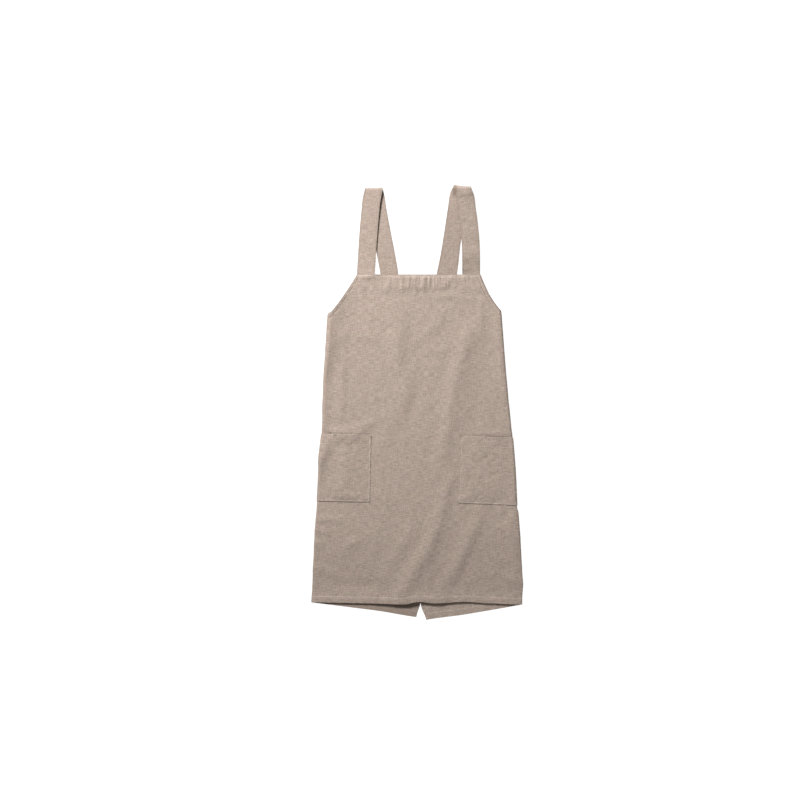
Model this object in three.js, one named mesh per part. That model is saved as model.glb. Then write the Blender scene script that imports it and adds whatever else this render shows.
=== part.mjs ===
// A cross back apron of plain linen, lying on its back with its straps folded over at the shoulders.
// Lengths are in millimetres: X to the right, Y from the hem up to the shoulders, Z up from the surface.
import * as THREE from "three";

// Driving dimensions of the cut
const frontLength = 850; // from the hem to the top of the bib
const clothWidth = 1100; // one width of linen, from one centre-back edge to the other
const bibWidth = 320;
const bandDepth = 50; // of the facing behind the top of the bib
const backHeight = 677; // from the hem to the top of a back panel
const armholeReach = 270; // from the bib's corner to where the armhole comes level
const armholeSteepness = 64; // degrees, at the bib's corner
const strapWidth = 45;
const strapRise = 225; // of the folded straps above the bib
const strapSeam = 40; // of strap between the bib and its facing
const strapTail = 30; // of strap sewn to a back panel
const strapInset = 28; // from the strap to the centre-back edge
const pocketHeight = 175;
const pocketWidth = 184; // round the side fold, measured along the cloth

// Thicknesses and the clearance that layers keep
const clothThickness = 1.2;
const strapThickness = 2;
const clearance = 0.3;
const foldSpread = 10; // between the middles of the front and of the back at a side fold

// How the cloth lies, in degrees and shares
const clothLean = 1; // of the centre line
const hemTilt = 0.52; // of the hem
const sides = {
  left: { sign: -1, foldShare: 0.2481, slant: 3.84 },
  right: { sign: 1, foldShare: 0.2484, slant: 4.63 },
};

// Facets
const rows = 22;
const foldSteps = 6;
const backColumns = 8;
const sideColumns = 5; // from a side fold to the bib's corner
const bibColumns = 10; // from the bib's corner to the centre

const rad = THREE.MathUtils.degToRad;
const { clamp, lerp } = THREE.MathUtils;
const layerStep = clothThickness + clearance;
const strapStep = strapThickness + clearance;
const frontLevel = clothThickness / 2 + foldSpread;
const foldArc = (Math.PI * foldSpread) / 2;
const halfFront = clothWidth / 4;
const cell = frontLength / rows; // a layer keeps level this far round what lies under it

// One from zero to one as a length grows from start over a ramp
const ramp = (length, start, over) => clamp((length - start) / over, 0, 1);

// The flat cloth's centre line leans, and its hem is tilted
const bibCentre = bibWidth * 0.012;
const centreAt = (y) => bibCentre - (frontLength - y) * Math.tan(rad(clothLean));
const hemAt = (x) => -(x + halfFront) * Math.tan(rad(hemTilt));

// Below the band the armholes lie a little to the left of the bib's top
const armholeJog = bibWidth * 0.0125;
const armholeDepth = frontLength - backHeight;
const armholeCentre = (y) =>
  centreAt(y) -
  armholeJog * ramp(frontLength - y, 0, bandDepth) * ramp(y - backHeight, 0, armholeDepth / 2);

// The top edge of the cut, as a height over a distance from the centre line
const armhole = new THREE.CubicBezierCurve(
  new THREE.Vector2(bibWidth / 2, frontLength),
  new THREE.Vector2(
    bibWidth / 2 + (armholeDepth * 0.6) / Math.tan(rad(armholeSteepness)),
    frontLength - armholeDepth * 0.6,
  ),
  new THREE.Vector2(bibWidth / 2 + armholeReach * 0.4, backHeight),
  new THREE.Vector2(bibWidth / 2 + armholeReach, backHeight),
);
function topEdge(distance) {
  if (distance <= bibWidth / 2) return frontLength;
  if (distance >= bibWidth / 2 + armholeReach) return backHeight;
  let low = 0;
  let high = 1;
  for (let step = 0; step < 40; step++) {
    const middle = (low + high) / 2;
    if (armhole.getPoint(middle).x < distance) low = middle;
    else high = middle;
  }
  return armhole.getPoint((low + high) / 2).y;
}

// A side fold is a straight line of the flat cloth
function foldOf(side) {
  const slant = rad(side.slant);
  return {
    x: side.sign * side.foldShare * clothWidth,
    out: new THREE.Vector2(side.sign * Math.cos(slant), Math.sin(slant)),
    along: new THREE.Vector2(-side.sign * Math.sin(slant), Math.cos(slant)),
  };
}
for (const side of Object.values(sides)) side.fold = foldOf(side);

function beyondFold(side, x, y) {
  const { fold } = side;
  const offset = new THREE.Vector2(x - fold.x, y);
  return { beyond: offset.dot(fold.out), along: offset.dot(fold.along) };
}

// Pockets: the inner top corner as shares of the front's half width and of its length, and the turn in degrees
const pockets = {
  left: { side: sides.left, across: -0.4347, up: 0.5121, turn: -1.2 },
  right: { side: sides.right, across: 0.4117, up: 0.5091, turn: -2.2 },
};
for (const pocket of Object.values(pockets)) {
  const turn = rad(pocket.turn);
  const width = new THREE.Vector2(Math.cos(turn), Math.sin(turn));
  pocket.width = width.multiplyScalar(pocket.side.sign * pocketWidth);
  pocket.height = new THREE.Vector2(Math.sin(turn), -Math.cos(turn)).multiplyScalar(pocketHeight);
  pocket.corner = new THREE.Vector2(pocket.across * halfFront, pocket.up * frontLength);
}
function pocketPoint(pocket, acrossShare, downShare) {
  return pocket.corner
    .clone()
    .addScaledVector(pocket.width, acrossShare)
    .addScaledVector(pocket.height, downShare);
}

// Main folds of the front: a row for each section, its place as shares of the half front and the length,
// its half width as a share of the bib's width and its height as a share of the side fold's
const foldSections = [
  { fold: "main", across: 0.6, up: 0.922, wide: 0.07, high: 0.1 },
  { fold: "main", across: 0.47, up: 0.8, wide: 0.09, high: 0.42 },
  { fold: "main", across: 0.347, up: 0.617, wide: 0.08, high: 0.45 },
  { fold: "main", across: 0.272, up: 0.495, wide: 0.07, high: 0.35 },
  { fold: "main", across: 0.16, up: 0.38, wide: 0.06, high: 0 },
  { fold: "lower", across: 0.31, up: 0.43, wide: 0.06, high: 0 },
  { fold: "lower", across: 0.243, up: 0.282, wide: 0.07, high: 0.36 },
  { fold: "lower", across: 0.149, up: 0.175, wide: 0.08, high: 0.42 },
  { fold: "lower", across: -0.097, up: 0.03, wide: 0.08, high: 0.3 },
  { fold: "hem", across: 0.603, up: 0.25, wide: 0.06, high: 0 },
  { fold: "hem", across: 0.461, up: 0.15, wide: 0.07, high: 0.34 },
  { fold: "hem", across: 0.281, up: 0.03, wide: 0.07, high: 0.28 },
  { fold: "waist", across: -0.68, up: 0.74, wide: 0.06, high: 0 },
  { fold: "waist", across: -0.7, up: 0.64, wide: 0.06, high: 0.3 },
  { fold: "waist", across: -0.69, up: 0.57, wide: 0.06, high: 0.1 },
  { fold: "chest", across: -0.25, up: 0.93, wide: 0.14, high: 0.1 },
  { fold: "chest", across: -0.19, up: 0.82, wide: 0.15, high: 0.35 },
  { fold: "chest", across: -0.1, up: 0.66, wide: 0.12, high: 0.3 },
  { fold: "chest", across: -0.24, up: 0.54, wide: 0.1, high: 0.1 },
];
const folds = Map.groupBy(foldSections, (section) => section.fold);

// The highest of a fold's stretches at a point, each a smooth hump across its line
function humpHeight(sections, x, y) {
  let highest = 0;
  for (let i = 1; i < sections.length; i++) {
    const a = sections[i - 1];
    const b = sections[i];
    const from = new THREE.Vector2(a.across * halfFront, a.up * frontLength);
    const line = new THREE.Vector2(b.across * halfFront, b.up * frontLength).sub(from);
    const place = new THREE.Vector2(x, y).sub(from);
    const share = clamp(place.dot(line) / line.lengthSq(), 0, 1);
    const away = place.addScaledVector(line, -share).length();
    const wide = lerp(a.wide, b.wide, share) * bibWidth;
    const high = lerp(a.high, b.high, share) * foldSpread;
    highest = Math.max(highest, high * Math.exp(-((away / wide) ** 2)));
  }
  return highest;
}

// How far a point of the flat cloth is outside a pocket's edges
function pocketDistance(pocket, x, y) {
  const offset = new THREE.Vector2(x, y).sub(pocket.corner);
  const across = offset.dot(pocket.width) / pocketWidth;
  const down = offset.dot(pocket.height) / pocketHeight;
  return Math.max(-across, across - pocketWidth, -down, down - pocketHeight);
}

// The front's relief, which is level at the side folds, the band and the pockets
function relief(x, y) {
  let height = 0;
  for (const sections of folds.values()) height += humpHeight(sections, x, y);
  for (const side of Object.values(sides)) height *= ramp(-beyondFold(side, x, y).beyond, 0, cell);
  for (const pocket of Object.values(pockets)) height *= ramp(pocketDistance(pocket, x, y), cell, cell);
  return height * ramp(frontLength - y, bandDepth, cell) * ramp(y, 0, cell);
}

// How far a back panel is lifted by what lies under it
function backLift(side, beyond, along) {
  const pocket = pockets[side.sign < 0 ? "left" : "right"];
  const { fold } = side;
  const x = fold.x + fold.out.x * beyond + fold.along.x * along;
  const y = fold.out.y * beyond + fold.along.y * along;
  const overPocket = 1 - ramp(pocketDistance(pocket, x, y), cell, cell);
  if (side.sign < 0) return layerStep * overPocket;
  const laid = laidBack(side, beyond, along);
  const edge = laidBack(sides.left, ...edgeBeyond(sides.left, laid.y));
  const overPanel = ramp(edge.x - laid.x, -2 * cell, cell);
  const overStrap = ramp(laid.y, panelTop.y - strapTail - 2 * cell, cell);
  return layerStep * Math.max(overPocket, overPanel) + strapStep * overPanel * overStrap;
}

// Where a point of a back panel lies, seen from above
function laidBack(side, beyond, along) {
  const { fold } = side;
  const back = foldArc - beyond;
  return new THREE.Vector2(
    fold.x + fold.along.x * along + fold.out.x * back,
    fold.along.y * along + fold.out.y * back,
  );
}

// The centre-back edge of a side, at about a height over the hem
function edgeBeyond(side, y) {
  const place = beyondFold(side, centreAt(y) + (side.sign * clothWidth) / 2, y);
  return [place.beyond, place.along];
}

// A point of a back panel's top edge, at a distance from the centre-back edge and below the top
function panelPoint(side, inset, down) {
  const y = backHeight - down;
  const x = centreAt(y) + side.sign * (clothWidth / 2 - inset);
  const { beyond, along } = beyondFold(side, x, y + hemAt(x) * (1 - y / frontLength));
  return laidBack(side, beyond, along);
}
const panelTop = panelPoint(sides.left, 0, 0);

// Where a point of the flat cloth lies: on the front, in a side fold or on a back panel
function lay(x, y) {
  const side = x < centreAt(y) ? sides.left : sides.right;
  const { beyond, along } = beyondFold(side, x, y);
  if (beyond <= 0) return new THREE.Vector3(x, y, frontLevel + relief(x, y));
  const level = clothThickness / 2 + backLift(side, Math.max(beyond, foldArc), along);
  const turn = (Math.PI * Math.min(beyond, foldArc)) / foldArc;
  const bulge = ((frontLevel - level) / 2) * Math.sin(turn);
  const laid = laidBack(side, Math.max(beyond, foldArc), along).addScaledVector(side.fold.out, bulge);
  return new THREE.Vector3(laid.x, laid.y, level + ((frontLevel - level) * (1 + Math.cos(turn))) / 2);
}

// A closed wall of cloth round a grid of points, as rows of columns that face its outer side
function clothWall(grid, thickness) {
  const height = grid.length;
  const width = grid[0].length;
  const positions = [];
  for (const way of [0.5, -0.5]) {
    for (let r = 0; r < height; r++) {
      for (let c = 0; c < width; c++) {
        const across = grid[r][Math.min(c + 1, width - 1)].clone().sub(grid[r][Math.max(c - 1, 0)]);
        const up = grid[Math.min(r + 1, height - 1)][c].clone().sub(grid[Math.max(r - 1, 0)][c]);
        const normal = across.cross(up).normalize();
        positions.push(...grid[r][c].clone().addScaledVector(normal, way * thickness));
      }
    }
  }
  const index = [];
  const outer = (r, c) => r * width + c;
  const inner = (r, c) => height * width + outer(r, c);
  for (let r = 1; r < height; r++) {
    for (let c = 1; c < width; c++) {
      index.push(outer(r - 1, c - 1), outer(r - 1, c), outer(r, c));
      index.push(outer(r - 1, c - 1), outer(r, c), outer(r, c - 1));
      index.push(inner(r - 1, c - 1), inner(r, c), inner(r - 1, c));
      index.push(inner(r - 1, c - 1), inner(r, c - 1), inner(r, c));
    }
  }
  const rim = [];
  for (let c = 0; c < width - 1; c++) rim.push([0, c]);
  for (let r = 0; r < height - 1; r++) rim.push([r, width - 1]);
  for (let c = width - 1; c > 0; c--) rim.push([height - 1, c]);
  for (let r = height - 1; r > 0; r--) rim.push([r, 0]);
  rim.forEach((here, i) => {
    const next = rim[(i + 1) % rim.length];
    index.push(outer(...here), inner(...here), inner(...next));
    index.push(outer(...here), inner(...next), outer(...next));
  });
  const geometry = new THREE.BufferGeometry();
  geometry.setAttribute("position", new THREE.Float32BufferAttribute(positions, 3));
  geometry.setIndex(index);
  geometry.computeVertexNormals();
  return geometry;
}

// A column of the body is a straight line of the flat cloth, named by its places at the hem and the bib's top
const columnAt = (column, y) => lerp(column.low, column.high, y / frontLength);
function foldColumn(side, beyond) {
  const low = side.fold.x + (side.sign * beyond) / Math.cos(rad(side.slant));
  return { low, high: low - side.sign * frontLength * Math.tan(rad(side.slant)) };
}
const blendColumns = (a, b, share) => ({ low: lerp(a.low, b.low, share), high: lerp(a.high, b.high, share) });

// The columns of one side, from the centre-back edge to the centre line
function sideColumnsOf(side) {
  const edge = {
    low: centreAt(0) + (side.sign * clothWidth) / 2,
    high: centreAt(frontLength) + (side.sign * clothWidth) / 2,
  };
  const centre = { low: centreAt(0), high: centreAt(frontLength) };
  const foldEnd = foldColumn(side, foldArc);
  const foldStart = foldColumn(side, 0);
  const corner = (side.sign * bibWidth) / 2 / (foldStart.high - centre.high);
  const cornerColumn = blendColumns(centre, foldStart, corner);
  const columns = [];
  for (let i = 0; i < backColumns; i++) columns.push(blendColumns(edge, foldEnd, i / backColumns));
  for (let i = foldSteps; i > 0; i--) columns.push(foldColumn(side, (foldArc * i) / foldSteps));
  for (let i = 0; i < sideColumns; i++) columns.push(blendColumns(foldStart, cornerColumn, i / sideColumns));
  for (let i = 0; i < bibColumns; i++) columns.push(blendColumns(cornerColumn, centre, i / bibColumns));
  return columns;
}

// The height at which a column meets the top edge of the cut
function columnTop(column) {
  const above = (y) => y - topEdge(Math.abs(columnAt(column, y) - armholeCentre(y)));
  if (above(frontLength) <= 1e-6) return frontLength;
  let low = 0;
  let high = frontLength;
  for (let step = 0; step < 40; step++) {
    const middle = (low + high) / 2;
    if (above(middle) < 0) low = middle;
    else high = middle;
  }
  return low;
}

// The body: front, sides and both back panels in one cut
function makeBody() {
  const left = sideColumnsOf(sides.left);
  const right = sideColumnsOf(sides.right).reverse();
  const columns = [...left, { low: centreAt(0), high: centreAt(frontLength) }, ...right];
  const tops = columns.map(columnTop);
  const grid = [];
  for (let r = 0; r <= rows; r++) {
    grid.push(
      columns.map((column, i) => {
        const y = (tops[i] * r) / rows;
        const x = columnAt(column, y);
        return lay(x, y + hemAt(x) * (1 - y / frontLength));
      }),
    );
  }
  return clothWall(grid, clothThickness);
}

// A pocket lies a layer outside the body, and its facets in the side fold match the body's
const pocketRows = 5;
const pocketColumns = 4; // on the front
const wrapColumns = 2; // on the back
function makePocket(pocket) {
  const { side } = pocket;
  const beyondAt = (share, down) => {
    const point = pocketPoint(pocket, share, down);
    return beyondFold(side, point.x, point.y).beyond;
  };
  const shareAt = (beyond, down) => {
    const start = beyondAt(0, down);
    return (beyond - start) / (beyondAt(1, down) - start);
  };
  const grid = [];
  for (let r = 0; r <= pocketRows; r++) {
    const down = 1 - r / pocketRows;
    const foldStart = shareAt(0, down);
    const foldEnd = shareAt(foldArc, down);
    const shares = [];
    for (let i = 0; i < pocketColumns; i++) shares.push((foldStart * i) / pocketColumns);
    for (let i = 0; i < foldSteps; i++) shares.push(lerp(foldStart, foldEnd, i / foldSteps));
    for (let i = 0; i <= wrapColumns; i++) shares.push(lerp(foldEnd, 1, i / wrapColumns));
    if (side.sign < 0) shares.reverse();
    grid.push(shares.map((share) => outside(pocketPoint(pocket, share, down))));
  }
  return clothWall(grid, clothThickness);
}

// A point one layer outside the laid cloth
function outside(point) {
  const near = 0.01;
  const here = lay(point.x, point.y);
  const across = lay(point.x + near, point.y).sub(here);
  const up = lay(point.x, point.y + near).sub(here);
  return here.addScaledVector(across.cross(up).normalize(), layerStep);
}

// Straps: a row for each place along a run, as shares of the rise over the bib and of the bib's width
const strapSections = [
  { strap: "left", run: "front", up: 0, across: -0.4288 },
  { strap: "left", run: "front", up: 0.5, across: -0.407 },
  { strap: "left", run: "front", up: 0.785, across: -0.3885 },
  { strap: "left", run: "front", up: 1, across: -0.3656 },
  { strap: "left", run: "back", up: 0.5, across: -0.3 },
  { strap: "left", run: "back", up: 0, across: -0.2369 },
  { strap: "right", run: "front", up: 0, across: 0.4247 },
  { strap: "right", run: "front", up: 0.412, across: 0.4191 },
  { strap: "right", run: "front", up: 0.847, across: 0.3825 },
  { strap: "right", run: "front", up: 1.022, across: 0.354 },
  { strap: "right", run: "back", up: 0.9, across: 0.326 },
  { strap: "right", run: "back", up: 0.413, across: 0.2712 },
  { strap: "right", run: "back", up: 0, across: 0.2265 },
];
const strapLevels = {
  front: frontLevel - clothThickness / 2 - clearance - strapThickness / 2,
  back: strapThickness / 2,
};
const strapFoldRadius = (strapLevels.front - strapLevels.back) / 2;
const frontRunSteps = 12;
const backRunSteps = 22;

// The places of a strap on one run, seen from above
function strapPlaces(name, run) {
  const reach = strapRise - strapFoldRadius - strapThickness / 2;
  return strapSections
    .filter((section) => section.strap === name && section.run === run)
    .map(({ across, up }) => new THREE.Vector3(bibCentre + across * bibWidth, frontLength + up * reach, 0));
}

// The top of the layers that a strap's tail lies on
function tailLevel(name) {
  const layers = name === "left" ? 2 * layerStep + strapStep : layerStep;
  return layers + strapThickness / 2;
}

function makeStrap(name) {
  const other = name === "left" ? sides.right : sides.left;
  const frontPlaces = strapPlaces(name, "front");
  const first = frontPlaces[0].clone().sub(frontPlaces[1]).normalize();
  frontPlaces.unshift(frontPlaces[0].clone().addScaledVector(first, strapSeam));
  const inset = strapInset + strapWidth / 2;
  const tail = [-strapTail, 0, strapTail].map((down) => panelPoint(other, inset, down));
  const backPlaces = [frontPlaces.at(-1), ...strapPlaces(name, "back")];
  backPlaces.push(...tail.map((place) => new THREE.Vector3(place.x, place.y, 0)));
  const frontRun = new THREE.CatmullRomCurve3(frontPlaces);
  const backRun = new THREE.CatmullRomCurve3(backPlaces);
  const foldWay = frontRun.getTangent(1).add(backRun.getTangent(0)).setZ(0).normalize();
  if (foldWay.x < 0) foldWay.negate();
  const foldPoint = frontPlaces.at(-1);
  const foldOut = new THREE.Vector3(-foldWay.y, foldWay.x, 0);
  const up = new THREE.Vector3(0, 0, 1);

  const grid = [];
  const addRow = (middle, way) => {
    grid.push([-0.5, 0, 0.5].map((side) => middle.clone().addScaledVector(way, side * strapWidth)));
  };
  for (let i = 0; i < frontRunSteps; i++) {
    const place = frontRun.getPointAt(i / frontRunSteps);
    const way = frontRun.getTangentAt(i / frontRunSteps).cross(up);
    const turn = 1 - ramp(foldPoint.distanceTo(place), 0, strapWidth);
    addRow(place.clone().setZ(strapLevels.front), way.lerp(foldWay, turn).normalize());
  }
  for (let i = 0; i <= foldSteps; i++) {
    const turn = (Math.PI * i) / foldSteps;
    const middle = foldPoint.clone().addScaledVector(foldOut, strapFoldRadius * Math.sin(turn));
    addRow(middle.setZ(strapLevels.back + strapFoldRadius * (1 + Math.cos(turn))), foldWay);
  }
  const topEdgeY = panelTop.y + 2 * strapInset;
  for (let i = 1; i <= backRunSteps; i++) {
    const place = backRun.getPointAt(i / backRunSteps);
    const way = up.clone().cross(backRun.getTangentAt(i / backRunSteps));
    const turn = 1 - ramp(foldPoint.distanceTo(place), 0, strapWidth);
    const level = lerp(tailLevel(name), strapLevels.back, ramp(place.y, topEdgeY, cell));
    addRow(place.clone().setZ(level), way.lerp(foldWay, turn).normalize());
  }
  return clothWall(grid, strapThickness);
}

// The facing follows the bib's edges, and goes down round the strap ends
const facingColumns = 28;
const facingRows = 2;
function makeFacing() {
  const seams = ["left", "right"].map((name) => {
    const [low, high] = strapPlaces(name, "front");
    return { x: low.x, lean: (high.x - low.x) / (high.y - low.y) };
  });
  const grid = [];
  for (let r = 0; r <= facingRows; r++) {
    const y = frontLength - bandDepth * (1 - r / facingRows);
    const low = armholeCentre(y) - bibHalfAt(y);
    const high = armholeCentre(y) + bibHalfAt(y);
    const row = [];
    for (let c = 0; c <= facingColumns; c++) {
      const x = lerp(low, high, c / facingColumns);
      const gaps = seams.map((seam) => Math.abs(x - seam.x - seam.lean * (y - frontLength)));
      const round = 1 - ramp(Math.min(...gaps), (strapWidth + bandDepth) / 2 - strapInset / 2, strapInset);
      row.push(new THREE.Vector3(x, y, frontLevel - layerStep - strapStep * round));
    }
    grid.push(row);
  }
  return clothWall(grid, clothThickness);
}

// Half the bib's width at a height, from the armhole
function bibHalfAt(y) {
  let low = bibWidth / 2;
  let high = low + armholeReach;
  for (let step = 0; step < 40; step++) {
    const middle = (low + high) / 2;
    if (topEdge(middle) > y) low = middle;
    else high = middle;
  }
  return low;
}

// Linen, a little lighter where it faces the light
const linen = (color) => new THREE.MeshStandardMaterial({ color, roughness: 0.95, metalness: 0 });
const clothLinen = linen(0xb4a497);
const strapLinen = linen(0xc0afa2);
const pocketLinen = linen(0xaf9f92);

function addPiece(group, name, geometry, material) {
  const mesh = new THREE.Mesh(geometry, material);
  mesh.name = name;
  group.add(mesh);
}

const apron = new THREE.Group();
apron.name = "cross_back_apron";
addPiece(apron, "body", makeBody(), clothLinen);
addPiece(apron, "bib_facing", makeFacing(), clothLinen);
addPiece(apron, "strap_left", makeStrap("left"), strapLinen);
addPiece(apron, "strap_right", makeStrap("right"), strapLinen);
addPiece(apron, "pocket_left", makePocket(pockets.left), pocketLinen);
addPiece(apron, "pocket_right", makePocket(pockets.right), pocketLinen);

// The origin is on the surface, under the middle of the apron's box
const box = new THREE.Box3().setFromObject(apron);
const middle = box.getCenter(new THREE.Vector3());
apron.position.set(-middle.x, -middle.y, -box.min.z);

export default apron;
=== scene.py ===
# A cross back apron of natural linen, lying flat on its back with its straps folded over at the shoulders.
# Lengths are in metres. On the flat cloth x runs across from the middle and y up from the hem.
from math import radians

import bpy
import numpy as np
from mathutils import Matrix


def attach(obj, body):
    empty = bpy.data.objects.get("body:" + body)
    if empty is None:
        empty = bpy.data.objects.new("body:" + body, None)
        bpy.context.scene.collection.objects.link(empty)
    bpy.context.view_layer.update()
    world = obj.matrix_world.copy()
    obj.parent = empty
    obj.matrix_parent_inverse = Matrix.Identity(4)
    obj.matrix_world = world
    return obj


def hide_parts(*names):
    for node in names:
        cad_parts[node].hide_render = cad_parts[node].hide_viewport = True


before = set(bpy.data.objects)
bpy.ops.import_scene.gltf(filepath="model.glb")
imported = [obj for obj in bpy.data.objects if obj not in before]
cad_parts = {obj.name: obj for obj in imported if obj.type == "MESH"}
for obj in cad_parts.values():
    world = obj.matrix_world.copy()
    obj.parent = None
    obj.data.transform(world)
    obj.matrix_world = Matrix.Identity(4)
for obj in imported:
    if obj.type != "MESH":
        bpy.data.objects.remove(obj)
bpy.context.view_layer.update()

# The cut and the way it lies, the same as in the CAD model
apron = {
    "frontLength": 0.850,  # from the hem to the top of the bib
    "clothWidth": 1.100,  # one width of linen, from one centre-back edge to the other
    "bibWidth": 0.320,
    "bibShift": 0.012,  # of its width, to the right of the middle line at the hem
    "bandDepth": 0.050,
    "backHeight": 0.677,
    "armholeReach": 0.270,
    "armholeSteepness": 64,  # degrees, at the bib's corner
    "armholeCurve": (0.6, 0.4),  # how far the ends' straight starts reach down and across
    "armholeJog": 0.0125,  # of the bib's width, to the left below the band
    "foldSpread": 0.010,  # between the middles of the front and the back at a side fold
    "solidCloth": 0.0012,  # thickness of the wall in the CAD model
    "cloth": 0.0009,  # thickness of the wall here
    "layerStep": 0.0015,
    "strapStep": 0.0023,
    "strapTail": 0.030,  # how far a strap's end reaches down on a back panel
    "cells": 22,  # a layer keeps level this share of the length round what lies under it
    "clothLean": 1.0,  # degrees
    "hemTilt": 0.52,  # degrees
    "hemDrop": 0.0068,  # how much lower the front lies at its hem
    "intoFrame": (-0.00037, -0.51603),  # from the cut's own origin to the frame's
}
frontLength = apron["frontLength"]
clothWidth = apron["clothWidth"]
halfFront = clothWidth / 4
frontLevel = apron["solidCloth"] / 2 + apron["foldSpread"]
foldArc = np.pi * apron["foldSpread"] / 2
cell = frontLength / apron["cells"]
bandY = frontLength - apron["bandDepth"]
bibShift = apron["bibShift"] * apron["bibWidth"]


def smoothRamp(length, start, over):
    # zero up to start, one from start + over on, and 3s^2 - 2s^3 of the share s between them
    share = np.clip((length - start) / over, 0, 1)
    return share * share * (3 - 2 * share)


def bell(distance, width):
    # exp(-(distance / width)^2)
    return np.exp(-((distance / width) ** 2))


def unit(ways):
    return ways / np.linalg.norm(ways, axis=-1, keepdims=True)


def pathLengths(points):
    # how far each point is along the path through them
    return np.concatenate([[0], np.cumsum(np.linalg.norm(np.diff(points, axis=0), axis=1))])


def centreAt(y):
    # the middle line of the cloth, which leans
    return bibShift - (frontLength - y) * np.tan(radians(apron["clothLean"]))


def hemAt(x):
    # how far up the cloth's tilt moves its hem, which is down towards the right
    return -(x + halfFront) * np.tan(radians(apron["hemTilt"]))


# The armhole is a cubic curve from the bib's corner to the level back edge, as distances from the middle line
armholeDepth = frontLength - apron["backHeight"]
halfBib = apron["bibWidth"] / 2
share = np.linspace(0, 1, 241)
bezier = np.stack([(1 - share) ** 3, 3 * share * (1 - share) ** 2, 3 * share**2 * (1 - share), share**3])
curveDown = armholeDepth * apron["armholeCurve"][0]
curveAcross = apron["armholeReach"] * apron["armholeCurve"][1]
steepEnd = curveDown / np.tan(radians(apron["armholeSteepness"]))
armholeX = (halfBib + np.array([0, steepEnd, curveAcross, apron["armholeReach"]])) @ bezier
armholeY = np.array([frontLength, frontLength - curveDown, apron["backHeight"], apron["backHeight"]]) @ bezier


def armholeCentre(y):
    # the line midway between the armholes
    below = np.clip((frontLength - y) / apron["bandDepth"], 0, 1)
    above = np.clip((y - apron["backHeight"]) / (armholeDepth / 2), 0, 1)
    return centreAt(y) - apron["armholeJog"] * apron["bibWidth"] * below * above


def topEdge(distance):
    return np.interp(distance, armholeX, armholeY)


def bibHalfAt(y):
    return np.interp(y, armholeY[::-1], armholeX[::-1])


def armholeDistance(x, y):
    # the shortest way from a point of the flat cloth to either armhole's edge
    away = np.abs(x - armholeCentre(y)).ravel()
    height = y.ravel()
    nearest = np.full(away.shape, 1.0)
    for edgeX, edgeY in zip(armholeX[::4], armholeY[::4]):
        nearest = np.minimum(nearest, np.hypot(away - edgeX, height - edgeY))
    return nearest.reshape(x.shape)


# The two side folds, straight lines of the flat cloth
def sideFold(sign, foldShare, slant):
    slant = radians(slant)
    return {
        "name": "left" if sign < 0 else "right",
        "sign": sign,
        "x": sign * foldShare * clothWidth,
        "slant": slant,
        "out": (sign * np.cos(slant), np.sin(slant)),
        "along": (-sign * np.sin(slant), np.cos(slant)),
    }


leftSide = sideFold(-1, 0.2481, 3.84)
rightSide = sideFold(1, 0.2484, 4.63)


def beyondFold(side, x, y):
    # how far a point is beyond the fold's line, and how far along it
    away = x - side["x"]
    out, along = side["out"], side["along"]
    return away * out[0] + y * out[1], away * along[0] + y * along[1]


def laidBack(side, beyond, along):
    # where such a point lies once it is turned under
    back = foldArc - beyond
    x = side["x"] + side["along"][0] * along + side["out"][0] * back
    return x, side["along"][1] * along + side["out"][1] * back


# Pockets: inner top corner as shares of the front's half width and length, and the turn in degrees
pockets = {
    "height": 0.175,
    "width": 0.184,  # round the side fold, along the cloth
    "left": {"side": leftSide, "across": -0.4347, "up": 0.5121, "turn": -1.2},
    "right": {"side": rightSide, "across": 0.4117, "up": 0.5091, "turn": -2.2},
    "bandDepth": 0.026,
    "edgeLift": 0.00104,
    "seamInset": 0.003,
    "mouthDip": 0.0008,  # of the front cloth under the pocket's top edge
    "mouthAt": 0.0012,  # below that edge
    "mouthWidth": 0.0032,
    "mouthEnds": (-0.004, 0.006),  # where it starts at each side, and over what length
}


def pocketPoint(name, acrossShare, downShare):
    # the corner, plus a share of the width along the top edge, plus a share of the height down the side
    pocket = pockets[name]
    turn = radians(pocket["turn"])
    across = acrossShare * pocket["side"]["sign"] * pockets["width"]
    down = downShare * pockets["height"]
    x = pocket["across"] * halfFront + np.cos(turn) * across + np.sin(turn) * down
    y = pocket["up"] * frontLength + np.sin(turn) * across - np.cos(turn) * down
    return x, y


def pocketPlace(name, x, y):
    # how far a point is across and down from the pocket's inner top corner
    pocket = pockets[name]
    turn = radians(pocket["turn"])
    dx = x - pocket["across"] * halfFront
    dy = y - pocket["up"] * frontLength
    across = pocket["side"]["sign"] * (dx * np.cos(turn) + dy * np.sin(turn))
    return across, dx * np.sin(turn) - dy * np.cos(turn)


def pocketDistance(name, x, y):
    # how far a point is outside the pocket's edges
    across, down = pocketPlace(name, x, y)
    return np.maximum.reduce([-across, across - pockets["width"], -down, down - pockets["height"]])


def mouthLine(down):
    # the dip under a pocket's top edge
    return bell(down - pockets["mouthAt"], pockets["mouthWidth"])


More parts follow.
